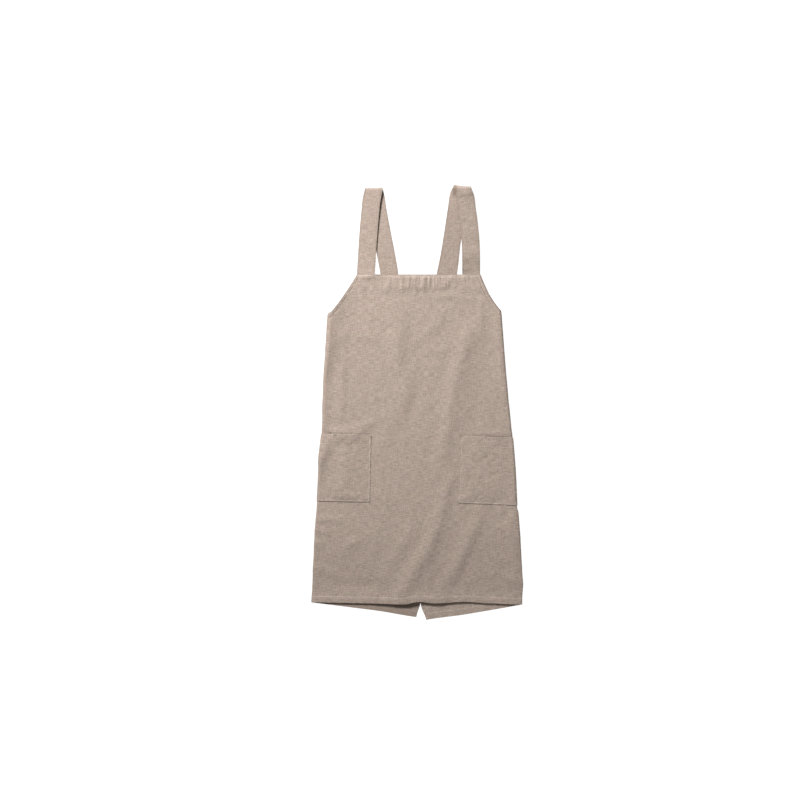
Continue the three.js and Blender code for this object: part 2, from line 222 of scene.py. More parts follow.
# Folds of the front: for each row x, y, half width and height in millimetres along the line
folds = {
    "main": [(157, 732, 22, 0.7), (131, 696, 24, 2.8), (113, 641, 23, 3.4), (100, 576, 23, 3.3),
        (87, 512, 23, 3.1), (77, 447, 21, 3.1), (67, 395, 21, 2.5), (54, 343, 21, 1.5), (49, 291, 23, 0.8)],
    "lower": [(93, 348, 18, 0.4), (85, 317, 18, 1.8), (74, 284, 18, 2.4), (64, 247, 18, 2.7),
        (54, 209, 21, 3.2), (41, 170, 21, 3.5), (25, 133, 21, 3.5), (5, 100, 21, 3.3), (-14, 66, 21, 2.9),
        (-40, 27, 21, 2.3)],
    "hemRidge": [(168, 253, 16, 0.4), (160, 222, 16, 1.4), (144, 185, 18, 2.2), (129, 146, 18, 2.5),
        (113, 115, 18, 2.6), (98, 82, 18, 2.4), (82, 51, 18, 1.8), (67, 19, 16, 1)],
    "leftEdge": [(-193, 825, 25, 2.6), (-217, 784, 33, 6.2), (-241, 737, 38, 9), (-249, 685, 38, 9.8),
        (-251, 644, 34, 8.8), (-250, 602, 26, 6), (-247, 561, 16, 2.5), (-247, 512, 16, 2),
        (-249, 460, 16, 2.5), (-255, 421, 16, 3), (-260, 374, 16, 3)],
    "leftInner": [(-169, 737, 13, 0.3), (-185, 711, 13, 0.8), (-190, 691, 13, 1), (-174, 680, 13, 0.5)],
    "chestLeft": [(-133, 784, 21, 0.4), (-117, 753, 21, 0.6), (-117, 719, 21, 0.6)],
    "middleLeft": [(-65, 693, 13, 0.4), (-55, 654, 13, 0.8), (-52, 608, 13, 0.6)],
    "bandLeft": [(-200, 794, 10, 0.4), (-169, 792, 10, 0.5)],
    "lowMiddle": [(59, 253, 16, 0.4), (74, 234, 16, 0.4)],
    "lowRight": [(214, 110, 21, 0.3), (188, 71, 21, 0.4)],
    "leftRidge": [(-190, 641, 10, 0.3), (-192, 608, 10, 1.5), (-192, 564, 10, 1.6), (-192, 519, 10, 1.5),
        (-195, 483, 13, 1)],
    "abovePocket": [(-236, 447, 10, 0.8), (-200, 444, 13, 1.6), (-169, 450, 13, 1.6), (-133, 460, 13, 1.2),
        (-97, 478, 13, 0.8), (-76, 499, 13, 0.3)],
    "chest": [(-55, 805, 39, 1.2), (-47, 753, 39, 2.1), (-46, 706, 31, 2.4), (-47, 665, 21, 2.7),
        (-44, 623, 21, 1.9), (-30, 576, 21, 1.3), (-28, 535, 21, 1.6), (-39, 494, 23, 1.4),
        (-57, 457, 23, 1), (-76, 421, 23, 0.5)],
    "chestCross": [(-174, 696, 16, 1), (-143, 691, 16, 1.2), (-107, 685, 16, 1), (-71, 672, 16, 0.6)],
    "diagonal": [(74, 771, 21, 0.5), (59, 742, 21, 1.3), (43, 716, 18, 1.4), (25, 696, 18, 0.8),
        (5, 678, 16, 0.3)],
    "middleDip": [(7, 665, 13, -0.5), (10, 628, 13, -0.8), (10, 597, 13, -0.8), (12, 561, 16, -0.8),
        (-1, 525, 18, -1), (-16, 486, 18, -0.9), (-40, 452, 18, -0.5)],
    "shortCross": [(90, 662, 13, 0.8), (59, 652, 13, 1.2), (28, 654, 13, 1)],
    "shortCrossLow": [(49, 618, 13, 0.4), (23, 613, 13, 0.5)],
    "underBand": [(23, 797, 10, 0.3), (54, 794, 10, 1.2), (85, 794, 10, 1.4), (116, 792, 10, 1),
        (147, 786, 10, 0.8), (168, 776, 10, 0.3)],
    "rightCrease": [(165, 789, 8, 0.3), (165, 753, 8, 0.8), (165, 711, 8, 0.8), (165, 667, 8, 0.4)],
    "rightEdge": [(207, 753, 13, 1), (212, 693, 13, 1.5), (217, 628, 13, 1.5), (222, 564, 13, 1.5),
        (230, 499, 13, 1.4), (238, 442, 13, 1.2)],
    "rightLow": [(245, 382, 13, 1), (248, 317, 13, 1), (248, 253, 13, 1.2), (245, 188, 16, 1.8),
        (251, 131, 16, 1.4), (253, 71, 16, 1.6), (261, 27, 16, 0.8)],
    "rightHem": [(227, 66, 13, 1), (245, 58, 13, 1.2), (266, 53, 13, 1)],
    "rightMid": [(214, 196, 13, 0.8), (227, 175, 13, 0.8)],
    "lowLong": [(7, 234, 21, 0.3), (-14, 198, 18, 1), (-34, 159, 18, 1.4), (-52, 123, 18, 1.2),
        (-76, 79, 18, 0.9), (-99, 38, 18, 0.7)],
    "lowLeft": [(-169, 154, 13, 0.7), (-190, 136, 13, 0.7), (-198, 110, 13, 0.4)],
    "lowLeftUp": [(-169, 154, 13, 0.6), (-138, 167, 13, 0.5), (-117, 188, 13, 0.3)],
    "lowShort": [(-102, 188, 13, 0.4), (-109, 149, 13, 0.9), (-117, 110, 13, 0.6), (-128, 71, 13, 0.4)],
    "leftSide1": [(-273, 219, 10, 0.8), (-247, 214, 10, 1.2), (-221, 216, 10, 1.4), (-200, 214, 10, 0.8)],
    "leftSide2": [(-273, 188, 10, 0.8), (-247, 185, 10, 1.2), (-221, 188, 10, 0.6)],
    "leftSide3": [(-273, 149, 13, 0.8), (-252, 154, 10, 0.6)],
    "leftSide4": [(-283, 89, 18, 2), (-268, 89, 16, 1.6), (-242, 76, 13, 1), (-221, 74, 13, 0.5)],
    "hemLine": [(-273, 6, 16, 0.8), (-200, 6, 16, 0.8), (-97, 6, 16, 1), (-45, 4, 16, 1), (33, 6, 16, 0.9),
        (111, 6, 16, 0.7), (188, 4, 16, 0.8), (266, 1, 16, 0.8)],
    "aboveHem": [(-213, 48, 13, -0.5), (-174, 45, 13, -0.8), (-122, 43, 13, -0.8), (-76, 43, 13, -0.4)],
    "middleLow": [(-97, 266, 26, 0.4), (-45, 279, 31, 0.6), (7, 266, 26, 0.4)],
    "rightOfMain": [(173, 667, 23, -0.5), (168, 615, 23, -0.8), (163, 564, 23, -0.8), (155, 512, 21, -0.7),
        (137, 473, 21, -0.4)],
    "nearRightPocket": [(137, 512, 16, 0.5), (121, 478, 16, 0.6)],
    "besideRightPocket": [(111, 266, 10, 0.6), (121, 268, 10, 1.2), (142, 273, 10, 0.6), (157, 291, 10, 0.4)],
    "leftPocketPucker": [(-226, 437, 13, 0.8), (-234, 411, 16, 2.4), (-244, 382, 16, 3), (-255, 354, 16, 2.8),
        (-262, 317, 13, 1.4)],
    "leftPocketCrease": [(-212, 427, 14, 1.2), (-182, 428, 14, 2.3), (-148, 437, 13, 1.3)],
    "leftPocketUpright": [(-190, 400, 16, 0.8), (-190, 348, 18, 1.6), (-192, 286, 18, 1.2)],
    "leftPocketLow": [(-213, 276, 10, 0.8), (-169, 273, 10, 0.8), (-128, 273, 10, 0.8)],
    "rightPocketTop": [(157, 439, 8, 0.5), (188, 439, 8, 1.2), (214, 439, 8, 0.8)],
    "rightPocketDent": [(173, 405, 13, 0.5), (188, 390, 13, 0.8), (199, 405, 10, 0.4)],
    "strapCrease": [(-151, 841, 8, 0.6), (-133, 843, 8, 2.4), (-112, 849, 8, 2.4), (-91, 854, 8, 1.4)],
    "gather1": [(-143, 828, 8, 0.6), (-143, 810, 8, 0.8)],
    "gather2": [(-115, 830, 6, 0.6), (-115, 810, 6, 0.7)],
    "gather3": [(-71, 833, 8, 0.6), (-81, 810, 8, 0.9)],
    "gather4": [(-42, 846, 6, 0.8), (-40, 807, 6, 1)],
    "gather5": [(-6, 836, 6, 0.8), (-6, 802, 6, 1.3)],
    "gather6": [(17, 841, 6, 0.8), (17, 807, 6, 1)],
    "gather7": [(41, 825, 6, 0.5), (41, 810, 6, 0.6)],
    "gather8": [(54, 807, 8, 0.8), (72, 825, 8, 1.5), (95, 841, 8, 1)],
    "gather9": [(119, 841, 8, 0.8), (119, 807, 8, 1)],
    "gather10": [(157, 836, 8, 0.5), (170, 807, 8, 1)],
    "belowBand": [(7, 789, 16, 0.6), (17, 763, 16, 0.8), (17, 742, 16, 0.5)],
    "gather11": [(-182, 815, 8, 0.5), (-174, 805, 8, 0.8)],
}
# How much steeper a fold is to the right of its line
foldLean = {"main": -0.15, "lower": 0.05, "hemRidge": 0.1, "leftEdge": -0.1, "leftRidge": 0.2, "chest": 0.3}
foldDepth = 1.22  # times the heights in the table
millimetre = 0.001


def smoothRows(rows, steps=4):
    # a smooth cubic curve through the rows, with the same share of steps in each stretch
    rows = np.array(rows, float)
    rows = np.concatenate([2 * rows[:1] - rows[1:2], rows, 2 * rows[-1:] - rows[-2:-1]])
    t = (np.arange(steps) / steps)[:, None]
    runs = [
        b + 0.5 * t * ((c - a) + t * ((2 * a - 5 * b + 4 * c - d) + t * (3 * b - a - 3 * c + d)))
        for a, b, c, d in zip(rows, rows[1:], rows[2:], rows[3:])
    ]
    return np.concatenate(runs + [rows[-2:-1]])


def foldHeight(x, y):
    # each fold is high * exp(-(away / wide)^2), with away the distance to its line, wide larger on one side
    # of the line, and the folds added up
    total = np.zeros(x.size)
    for name, rows in folds.items():
        curve = smoothRows(rows) * millimetre
        reach = 3 * curve[:, 2].max()
        within = (
            (x.ravel() > curve[:, 0].min() - reach) & (x.ravel() < curve[:, 0].max() + reach)
            & (y.ravel() > curve[:, 1].min() - reach) & (y.ravel() < curve[:, 1].max() + reach)
        )
        px, py = x.ravel()[within], y.ravel()[within]
        nearest = np.full(px.shape, 1e9)
        wide, high, side = [np.zeros(px.shape) for i in range(3)]
        for a, b in zip(curve[:-1], curve[1:]):
            dx, dy = b[:2] - a[:2]
            along = np.clip(((px - a[0]) * dx + (py - a[1]) * dy) / (dx**2 + dy**2), 0, 1)
            awayX, awayY = px - a[0] - along * dx, py - a[1] - along * dy
            away = np.hypot(awayX, awayY)
            closer = away < nearest
            nearest = np.where(closer, away, nearest)
            wide = np.where(closer, a[2] + along * (b[2] - a[2]), wide)
            high = np.where(closer, a[3] + along * (b[3] - a[3]), high)
            side = np.where(closer, np.sign(awayX), side)
        total[within] += high * bell(nearest, wide * np.exp(-foldLean.get(name, 0) * side))
    return foldDepth * total.reshape(x.shape)


crumple = {"waves": 40, "shortest": 0.016, "longest": 0.060, "height": 0.00026, "seed": 11}


def crumpleHeight(x, y):
    # a sum of plane waves of seeded direction, length and phase, lower where they are shorter
    chance = np.random.default_rng(crumple["seed"])
    total = np.zeros_like(x)
    for step in range(crumple["waves"]):
        length = crumple["shortest"] * (crumple["longest"] / crumple["shortest"]) ** chance.random()
        way = chance.random() * 2 * np.pi
        phase = chance.random() * 2 * np.pi
        wave = np.sin(2 * np.pi * (x * np.cos(way) + y * np.sin(way)) / length + phase)
        total += wave * (length / crumple["longest"])
    return total * crumple["height"] / np.sqrt(crumple["waves"] / 2)


# Seams of the body: distances from the cut's edges
seams = {
    "hem": 0.0155,
    "centreBack": 0.0130,
    "armhole": 0.0080,
    "bibTop": 0.0030,
    "rise": 0.00035,  # of a doubled edge over the single cloth
    "bandRise": 1.4,  # times that on the bib's band
    "groove": 0.00030,
    "backGroove": 0.0002,  # on the inner skin of the back panels
    "grooveWidth": 0.0022,
    "step": 0.003,  # over which the cloth comes down from a doubled edge
}


def doubled(distance, name):
    # one on a doubled edge, down to zero past its seam
    return 1 - smoothRamp(distance, seams[name] - 0.001, seams["step"])


def groove(distance):
    return bell(distance, seams["grooveWidth"])


def seamHeight(x, y):
    # doubled edges stand a little proud, and the cloth dips along each line of stitches
    away = np.abs(x - armholeCentre(y))
    onBib = 1 - smoothRamp(away, bibHalfAt(y) - 0.001, 0.002)
    atArmhole = armholeDistance(x, y)
    band = smoothRamp(y, bandY - seams["step"], seams["step"])
    height = seams["rise"] * np.maximum.reduce([
        doubled(y, "hem"), doubled(atArmhole, "armhole"), seams["bandRise"] * band * onBib,
    ])
    lines = np.maximum.reduce([
        groove(y - seams["hem"]),
        groove(atArmhole - seams["armhole"]),
        groove(y - bandY) * onBib,
        groove(y - (frontLength - seams["bibTop"])) * onBib,
    ])
    return height - seams["groove"] * lines, lines


# How the front may dip, and how it comes down to its hem with an arch at the middle
relief = {
    "deepest": 0.0016,
    "shallower": 0.0012,  # by this much on the band
    "shallowFrom": 0.03,  # below the band
    "softness": 0.0003,
    "softRise": 0.00018,  # where a dip comes up to the deepest level
    "hemReach": 0.20,
    "archAt": -0.008,
    "archWidth": 0.075,
    "archShare": 0.64,  # of the drop, which the arch takes away
}


def reliefAt(x, y):
    # folds and crumples of the front, kept above a depth that clears what lies under it
    height = foldHeight(x, y) + crumpleHeight(x, y)
    shallow = smoothRamp(y, bandY - relief["shallowFrom"], relief["shallowFrom"])
    depth = relief["deepest"] - relief["shallower"] * shallow
    rise = relief["softRise"] * np.exp(-np.abs(height + depth) / relief["softness"])
    height = np.maximum(height, -depth) + rise
    for name in ("left", "right"):
        across, down = pocketPlace(name, x, y)
        ends = pockets["mouthEnds"]
        mouth = smoothRamp(across, *ends) * smoothRamp(pockets["width"] - across, *ends)
        height = height - pockets["mouthDip"] * mouth * mouthLine(down)
    arch = relief["archShare"] * bell(x - relief["archAt"], relief["archWidth"])
    return height - apron["hemDrop"] * (1 - arch) * (1 - smoothRamp(y, 0, relief["hemReach"]))


def backLift(side, beyond, along):
    # a back panel goes up over its pocket, over the other panel and over the strap ends
    x = side["x"] + side["out"][0] * beyond + side["along"][0] * along
    y = side["out"][1] * beyond + side["along"][1] * along
    overPocket = 1 - np.clip((pocketDistance(side["name"], x, y) - cell) / cell, 0, 1)
    if side["sign"] < 0:
        return apron["layerStep"] * overPocket
    laidX, laidY = laidBack(side, beyond, along)
    edge = beyondFold(leftSide, centreAt(laidY) - clothWidth / 2, laidY)
    edgeX = laidBack(leftSide, *edge)[0]
    overPanel = np.clip((edgeX - laidX + 2 * cell) / cell, 0, 1)
    overStrap = np.clip((laidY - (panelTop[1] - apron["strapTail"] - 2 * cell)) / cell, 0, 1)
    return apron["layerStep"] * np.maximum(overPocket, overPanel) + apron["strapStep"] * overPanel * overStrap


def panelPoint(side, inset, down):
    # a point of a back panel's top edge, at an inset from the centre-back edge and below the top
    y = apron["backHeight"] - down
    x = centreAt(y) + side["sign"] * (clothWidth / 2 - inset)
    return laidBack(side, *beyondFold(side, x, y + hemAt(x) * (1 - y / frontLength)))


panelTop = panelPoint(leftSide, 0, 0)

# Outline: how far the sides and the front hem stand off their straight lines, in millimetres, and the width
# in metres over which that fades
outline = {
    "left": {"y": (365, 440, 525, 575, 655), "x": (0, 1.6, -1.8, -3.0, 0)},
    "right": {"y": (-5, 50, 118, 232, 245, 346, 421, 455, 525, 605, 770),
              "x": (-3.5, 2.1, 2.1, 3.0, 0.4, 3.6, 4.3, 2.1, 0, -0.8, 0)},
    "hem": {"x": (-270, -130, -40, 8, 46, 124, 188, 250), "y": (0, -1.3, -3.1, 3.9, 0.3, 4.9, 1.5, -0.5)},
    "fade": 0.070,
}

# How the back panels' inner edges stand off their straight lines near the hem, in millimetres
panelEdges = {
    "left": {"y": (0, 38, 120, 300), "x": (0.5, 7.3, 5.0, 0), "down": 4.0},
    "right": {"y": (0, 38, 120, 300), "x": (-4.7, -11.0, -7.0, 0), "down": -3.0},
    "fade": 0.110,
    "downReach": 0.06,
}


def smoothTable(value, places, amounts):
    # a smooth curve through the rows of a table in millimetres, for a value in metres
    places = np.array(places) * millimetre
    amounts = np.array(amounts) * millimetre
    after = np.clip(np.searchsorted(places, value), 1, len(places) - 1)
    part = smoothRamp(value, places[after - 1], places[after] - places[after - 1])
    return amounts[after - 1] + part * (amounts[after] - amounts[after - 1])


def layCloth(x, y):
    # where a point of the flat cloth lies, with its relief: on the front, in a side fold or on a back panel
    tilted = y + hemAt(x) * (1 - y / frontLength)
    laid = {}
    for side in (leftSide, rightSide):
        beyond, along = beyondFold(side, x, tilted)
        edgeX = side["x"] + side["along"][0] * along
        edgeY = side["along"][1] * along
        turn = np.pi * np.clip(beyond / foldArc, 0, 1)
        onFront = beyond <= 0
        high = frontLevel + reliefAt(np.where(onFront, x, edgeX), np.where(onFront, tilted, edgeY))
        level = apron["cloth"] / 2 + backLift(side, np.maximum(beyond, foldArc), along)
        backX, backY = laidBack(side, np.maximum(beyond, foldArc), along)
        bulge = (high - level) / 2 * np.sin(turn)
        laidX = np.where(onFront, x, backX + side["out"][0] * bulge)
        laidY = np.where(onFront, tilted, backY + side["out"][1] * bulge)
        laidZ = np.where(onFront, high, level + (high - level) * (1 + np.cos(turn)) / 2)
        stands, edges = outline[side["name"]], panelEdges[side["name"]]
        near = 1 - smoothRamp(np.abs(beyond), 0, outline["fade"])
        laidX = laidX + near * smoothTable(edgeY, stands["y"], stands["x"])
        inner = 1 - smoothRamp(clothWidth / 2 - side["sign"] * (x - centreAt(y)), 0, panelEdges["fade"])
        inner = inner * (1 - onFront)
        laidX = laidX + inner * smoothTable(y, edges["y"], edges["x"])
        atHem = 1 - smoothRamp(y, 0, panelEdges["downReach"])
        laidY = laidY - inner * atHem * edges["down"] * millimetre
        wave = smoothTable(laidX, outline["hem"]["x"], outline["hem"]["y"])
        front = 1 - np.clip(beyond / foldArc, 0, 1)
        laidY = laidY + wave * front * (1 - smoothRamp(y, 0, outline["fade"]))
        laid[side["sign"]] = np.stack([laidX, laidY, laidZ], axis=-1)
    onLeft = (x < centreAt(tilted))[..., None]
    return np.where(onLeft, laid[-1], laid[1])


def surfaceNormals(grid):
    across = np.gradient(grid, axis=1)
    up = np.gradient(grid, axis=0)
    return unit(np.cross(across, up))


def intoFrame(points):
    moved = points.copy()
    moved[..., 0] += apron["intoFrame"][0]
    moved[..., 1] += apron["intoFrame"][1]
    return moved


def buildPiece(name, points, faces, material, uv=None, seam=None):
    # a smooth mesh, with the flat cloth as its UV map and its painted shade as the attribute named seam
    mesh = bpy.data.meshes.new(name)
    mesh.from_pydata(points.tolist(), [], faces.tolist())
    mesh.polygons.foreach_set("use_smooth", np.ones(len(faces), bool))
    if uv is not None:
        corners = np.empty(len(mesh.loops), np.int32)
        mesh.loops.foreach_get("vertex_index", corners)
        layer = mesh.uv_layers.new(name="cloth")
        layer.data.foreach_set("uv", uv[corners].astype(np.float32).ravel())
    if seam is not None:
        mesh.attributes.new("seam", "FLOAT", "POINT").data.foreach_set("value", seam.astype(np.float32))
    mesh.set_sharp_from_angle(angle=radians(50))
    mesh.materials.append(material)
    mesh.update()
    piece = bpy.data.objects.new(name, mesh)
    bpy.context.scene.collection.objects.link(piece)
    return piece


def clothWall(name, grid, uv, material, outer, inner, seam):
    # two skins at distances outer and inner from the middle surface, joined by a rim round the grid
    rows, columns = grid.shape[:2]
    normals = surfaceNormals(grid)
    skins = [grid + normals * outer[..., None], grid - normals * inner[..., None]]
    points = intoFrame(np.concatenate([skin.reshape(-1, 3) for skin in skins]))
    at = np.arange(rows * columns).reshape(rows, columns)
    front = np.stack([at[:-1, :-1], at[:-1, 1:], at[1:, 1:], at[1:, :-1]], axis=-1).reshape(-1, 4)
    count = rows * columns
    back = front[:, ::-1] + count
    rim = np.concatenate([at[0, :-1], at[:-1, -1], at[-1, :0:-1], at[:0:-1, 0]])
    onward = np.roll(rim, -1)
    edge = np.stack([rim, rim + count, onward + count, onward], axis=-1)
    faces = np.concatenate([front, back, edge])
    flat = np.concatenate([uv.reshape(-1, 2)] * 2)
    return buildPiece(name, points, faces, material, flat, np.concatenate([seam.ravel()] * 2))


# Linen
linen = {
    "threads": 0.00075,  # width of one thread
    "light": (0.511, 0.420, 0.357),
    "dark": (0.338, 0.270, 0.221),
    "shadeColour": (0.250, 0.192, 0.150),
    "roughness": 0.92,
    "specular": 0.25,
    "sheen": 0.12,
    "sheenRoughness": 0.6,
    # noises: scale in waves to a metre of the cloth, detail and place
    "weft": ((64, 560, 1), 2.0, 3.1),
    "warp": ((600, 56, 1), 2.0, 7.7),
    "grain": ((420, 420, 1), 3.0, 1.3, 0.7),
    "patches": ((16, 20, 1), 3.0, 5.9),
    "hue": ((46, 60, 1), 2.0, 11.3),
    "swells": ((90, 90, 1), 2.0, 2.2),
    # how much each noise counts in the colour, from dark to light
    "toneShares": {"weft": 2.0, "warp": 1.4, "grain": 1.9, "patches": 0.22},
    "hues": ((0.982, 1.0, 0.978, 1), (1.0, 0.980, 0.994, 1)),
    # how much each height counts in the bump
    "bumpDistance": 0.0006,
    "bumpShares": {"weave": 0.10, "weft": 0.5, "warp": 0.5, "swells": 0.9},
    "creaseEnds": 0.004,
    "breaks": ((70, 70, 1), 1.0, 20.3),  # the noise that breaks a crease up
    "breakSoftness": 0.12,
}


def makeNode(tree, kind, sockets, **settings):
    # a node with its settings, and each named socket linked or set to a value
    node = tree.nodes.new("ShaderNode" + kind)
    for name, value in settings.items():
        setattr(node, name, value)
    for name, value in sockets.items():
        if isinstance(value, bpy.types.NodeSocket):
            tree.links.new(value, node.inputs[name])
        else:
            node.inputs[name].default_value = value
    return node


def colourRamp(tree, value, low, high):
    node = makeNode(tree, "ValToRGB", {"Fac": value})
    for element, position, colour in zip(node.color_ramp.elements, (0.3, 0.7), (low, high)):
        element.position = position
        element.color = colour
    return node.outputs["Color"]


def clearMaterial(name):
    material = bpy.data.materials.new(name)
    material.use_nodes = True
    tree = material.node_tree
    tree.nodes.clear()
    shader = makeNode(tree, "BsdfPrincipled", {})
    makeNode(tree, "OutputMaterial", {"Surface": shader.outputs["BSDF"]})
    return material, tree, shader


def linenMaterial(name, tint=1.0, shadeDepth=0.45, creases=(), gathers=None):
    material, tree, shader = clearMaterial(name)
    shader.inputs["Roughness"].default_value = linen["roughness"]
    shader.inputs["Specular IOR Level"].default_value = linen["specular"]
    shader.inputs["Sheen Weight"].default_value = linen["sheen"]
    shader.inputs["Sheen Roughness"].default_value = linen["sheenRoughness"]
    uv = makeNode(tree, "UVMap", {}, uv_map="cloth").outputs["UV"]
    separate = makeNode(tree, "SeparateXYZ", {"Vector": uv})
    x, y = separate.outputs["X"], separate.outputs["Y"]

    def noise(scale, detail, offset, rough=0.5):
        location = (offset, offset * 0.7, 0)
        place = makeNode(tree, "Mapping", {"Vector": uv, "Scale": scale, "Location": location})
        sockets = {"Vector": place.outputs["Vector"], "Scale": 1.0, "Detail": detail, "Roughness": rough}
        return makeNode(tree, "TexNoise", sockets, noise_dimensions="2D").outputs["Fac"]

    def math(operation, first, second=0.0):
        return makeNode(tree, "Math", {0: first, 1: second}, operation=operation).outputs["Value"]

    def total(parts):
        result = parts[0] if parts else 0.0
        for part in parts[1:]:
            result = math("ADD", result, part)
        return result

    def times(*parts):
        result = parts[0]
        for part in parts[1:]:
            result = math("MULTIPLY", result, part)
        return result

    def smooth(value, start, over):
        sockets = {"Value": value, "From Min": start, "From Max": start + over}
        return makeNode(tree, "MapRange", sockets, interpolation_type="SMOOTHSTEP").outputs["Result"]

    def bellOf(value):
        # exp(-value^2)
        return math("EXPONENT", times(value, value, -1.0))

    def mixed(factor, first, second, blend="MIX"):
        # the type is set before the sockets, because it decides which of them are in use
        sockets = {"Factor": factor, "A": first, "B": second}
        return makeNode(tree, "Mix", sockets, data_type="RGBA", blend_type=blend).outputs["Result"]

    def tinted(colour):
        return [value * tint for value in colour] + [1]

    # plain weave: one thread's width to a half period, over and under by turns
    perMetre = np.pi / linen["threads"]
    parts = {key: noise(*linen[key]) for key in ("weft", "warp", "grain", "patches", "swells")}
    parts["weave"] = times(math("SINE", times(x, perMetre)), math("SINE", times(y, perMetre)))

    # from dark to light by 0.5 plus each noise's distance from its middle times its share
    shares = linen["toneShares"].items()
    tone = total([0.5] + [times(math("SUBTRACT", parts[key], 0.5), share) for key, share in shares])
    colour = mixed(tone, tinted(linen["dark"]), tinted(linen["light"]))
    colour = mixed(1.0, colour, colourRamp(tree, noise(*linen["hue"]), *linen["hues"]), "MULTIPLY")

    # creases are straight dips between two points of the cloth, exp(-(away / width)^2) deep and broken up,
    # with painted shade along them
    # the attribute named seam holds painted shade: along seams' grooves, at rims and edges, along a fold's
    # turn, under the hem and in a strap's loop
    seam = makeNode(tree, "Attribute", {}, attribute_name="seam")
    dips, shadeShare = [], [times(seam.outputs["Fac"], shadeDepth)]
    for index, (start, end, width, depth, dark, shown) in enumerate(creases):
        start, end = np.array(start), np.array(end)
        reach = float(np.linalg.norm(end - start))
        wayX, wayY = [float(v) for v in (end - start) / reach]
        along = total([times(x, wayX), times(y, wayY), float(-start[0] * wayX - start[1] * wayY)])
        away = total([times(y, wayX), times(x, -wayY), float(start[0] * wayY - start[1] * wayX)])
        scale, detail, place = linen["breaks"]
        broken = smooth(noise(scale, detail, place + index), 0.5 - shown, linen["breakSoftness"])
        ends = times(smooth(along, 0.0, linen["creaseEnds"]), smooth(along, reach, -linen["creaseEnds"]))
        dip = times(bellOf(math("DIVIDE", away, width)), ends, broken)
        dips.append(times(dip, depth))
        shadeShare.append(times(dip, dark))
    # how far the colour is darkened by painted shade, from the attribute and the creases
    shadeShare = math("MINIMUM", total(shadeShare), 1.0)
    tree.links.new(mixed(shadeShare, colour, tinted(linen["shadeColour"])), shader.inputs["Base Color"])

    height = total([times(parts[key], share) for key, share in linen["bumpShares"].items()])
    height = math("SUBTRACT", height, total(dips))
    if gathers:
        # short upright wrinkles, strongest round the middle of their stretch
        strength = bellOf(math("DIVIDE", math("SUBTRACT", x, gathers["middle"]), gathers["reach"]))
        strength = math("ADD", strength, gathers["everywhere"])
        ends = times(smooth(y, *gathers["bottom"]), smooth(y, *gathers["top"]))
        wrinkles = noise(*gathers["wrinkles"])
        height = math("ADD", height, times(wrinkles, strength, ends, gathers["height"]))
    bump = makeNode(tree, "Bump", {"Height": height, "Strength": 1.0, "Distance": linen["bumpDistance"]})
    tree.links.new(bump.outputs["Normal"], shader.inputs["Normal"])
    return material


# Looks of the creases: width in metres, depth in shares of the bump's distance, how dark their painted shade
# is, and how much of the line shows
creaseLooks = {
    "mouth": (0.0016, 1.0, 0.75, -0.04),
    "band": (0.0012, 0.5, 0.22, 0.4),
    "armhole": (0.0014, 1.0, 0.5, 0.4),
    "rim": (0.0026, 0.0, 1.0, 0.4),
}
# Places of the creases
creasePlaces = {
    "mouth": (0.02, 0.98, -0.007),  # both ends across the pocket and their way down, as shares of its size
    "band": (0.02, 0.0012),  # past the bib's corners, and below the band
    "armhole": 0.001,  # inside its seam
    "rim": 0.0004,  # inside the armhole's edge
    "chords": (0.52, 7),  # share of the armhole's curve from the bib, and points along it
}
# Wrinkles of the bib's band, in metres of the cloth
gathers = {
    "middle": 0.015,
    "reach": 0.075,
    "everywhere": 0.25,  # of their height, away from the middle
    "top": (0.8465, -0.006),  # where they start, and over what length
    "bottom": (0.803, 0.018),
    "wrinkles": ((95, 15.2, 1), 1.5, 31.7),  # noise
    "height": 6.5,
}


def armholeChords(sign, inset, look):
    # straight creases along the front part of one armhole's edge, at an inset from it
    share, count = creasePlaces["chords"]
    at = np.linspace(0, len(armholeX) * share, count).astype(int)
    slopeX, slopeY = np.gradient(armholeX)[at], np.gradient(armholeY)[at]  # down the armhole
    length = np.hypot(slopeX, slopeY)
    y = armholeY[at] - slopeX / length * inset
    x = armholeCentre(y) + sign * (armholeX[at] + slopeY / length * inset)
    return [((x[i], y[i]), (x[i + 1], y[i + 1]), *creaseLooks[look]) for i in range(len(at) - 1)]


near, far, level = creasePlaces["mouth"]
creases = [
    (pocketPoint(name, near, level), pocketPoint(name, far, level), *creaseLooks["mouth"])
    for name in ("left", "right")
]
creaseX, creaseY = halfBib + creasePlaces["band"][0], bandY - creasePlaces["band"][1]
creases.append(((-creaseX, creaseY), (creaseX, creaseY), *creaseLooks["band"]))
for sign in (-1, 1):
    creases += armholeChords(sign, seams["armhole"] + creasePlaces["armhole"], "armhole")
# a painted dark line just inside the right armhole's edge: painted shade, with no dip under it
creases += armholeChords(1, creasePlaces["rim"], "rim")
clothLinen = linenMaterial("linen", creases=creases, gathers=gathers)
plainLinen = linenMaterial("facing linen")
strapLinen = linenMaterial("strap linen", tint=0.945, shadeDepth=1.0)
pocketLinen = linenMaterial("pocket linen")


threads = {
    "roughness": 0.7,
    "specular": 0.3,
    "twist": 900,  # waves to a metre
    "pale": ((0.78, 0.70, 0.63, 1), (0.97, 0.91, 0.85, 1)),
    "flax": ((0.34, 0.28, 0.23, 1), (0.44, 0.37, 0.31, 1)),
}


def threadMaterial(kind):
    # two-ply thread with a fine twist, from its darker colour to its lighter one
    material, tree, shader = clearMaterial(kind + " thread")
    shader.inputs["Roughness"].default_value = threads["roughness"]
    shader.inputs["Specular IOR Level"].default_value = threads["specular"]
    place = makeNode(tree, "TexCoord", {}).outputs["Object"]
    twist = makeNode(tree, "TexNoise", {"Vector": place, "Scale": threads["twist"], "Detail": 1})
    tree.links.new(colourRamp(tree, twist.outputs["Fac"], *threads[kind]), shader.inputs["Base Color"])
    return material


thread = threadMaterial("pale")
flaxThread = threadMaterial("flax")

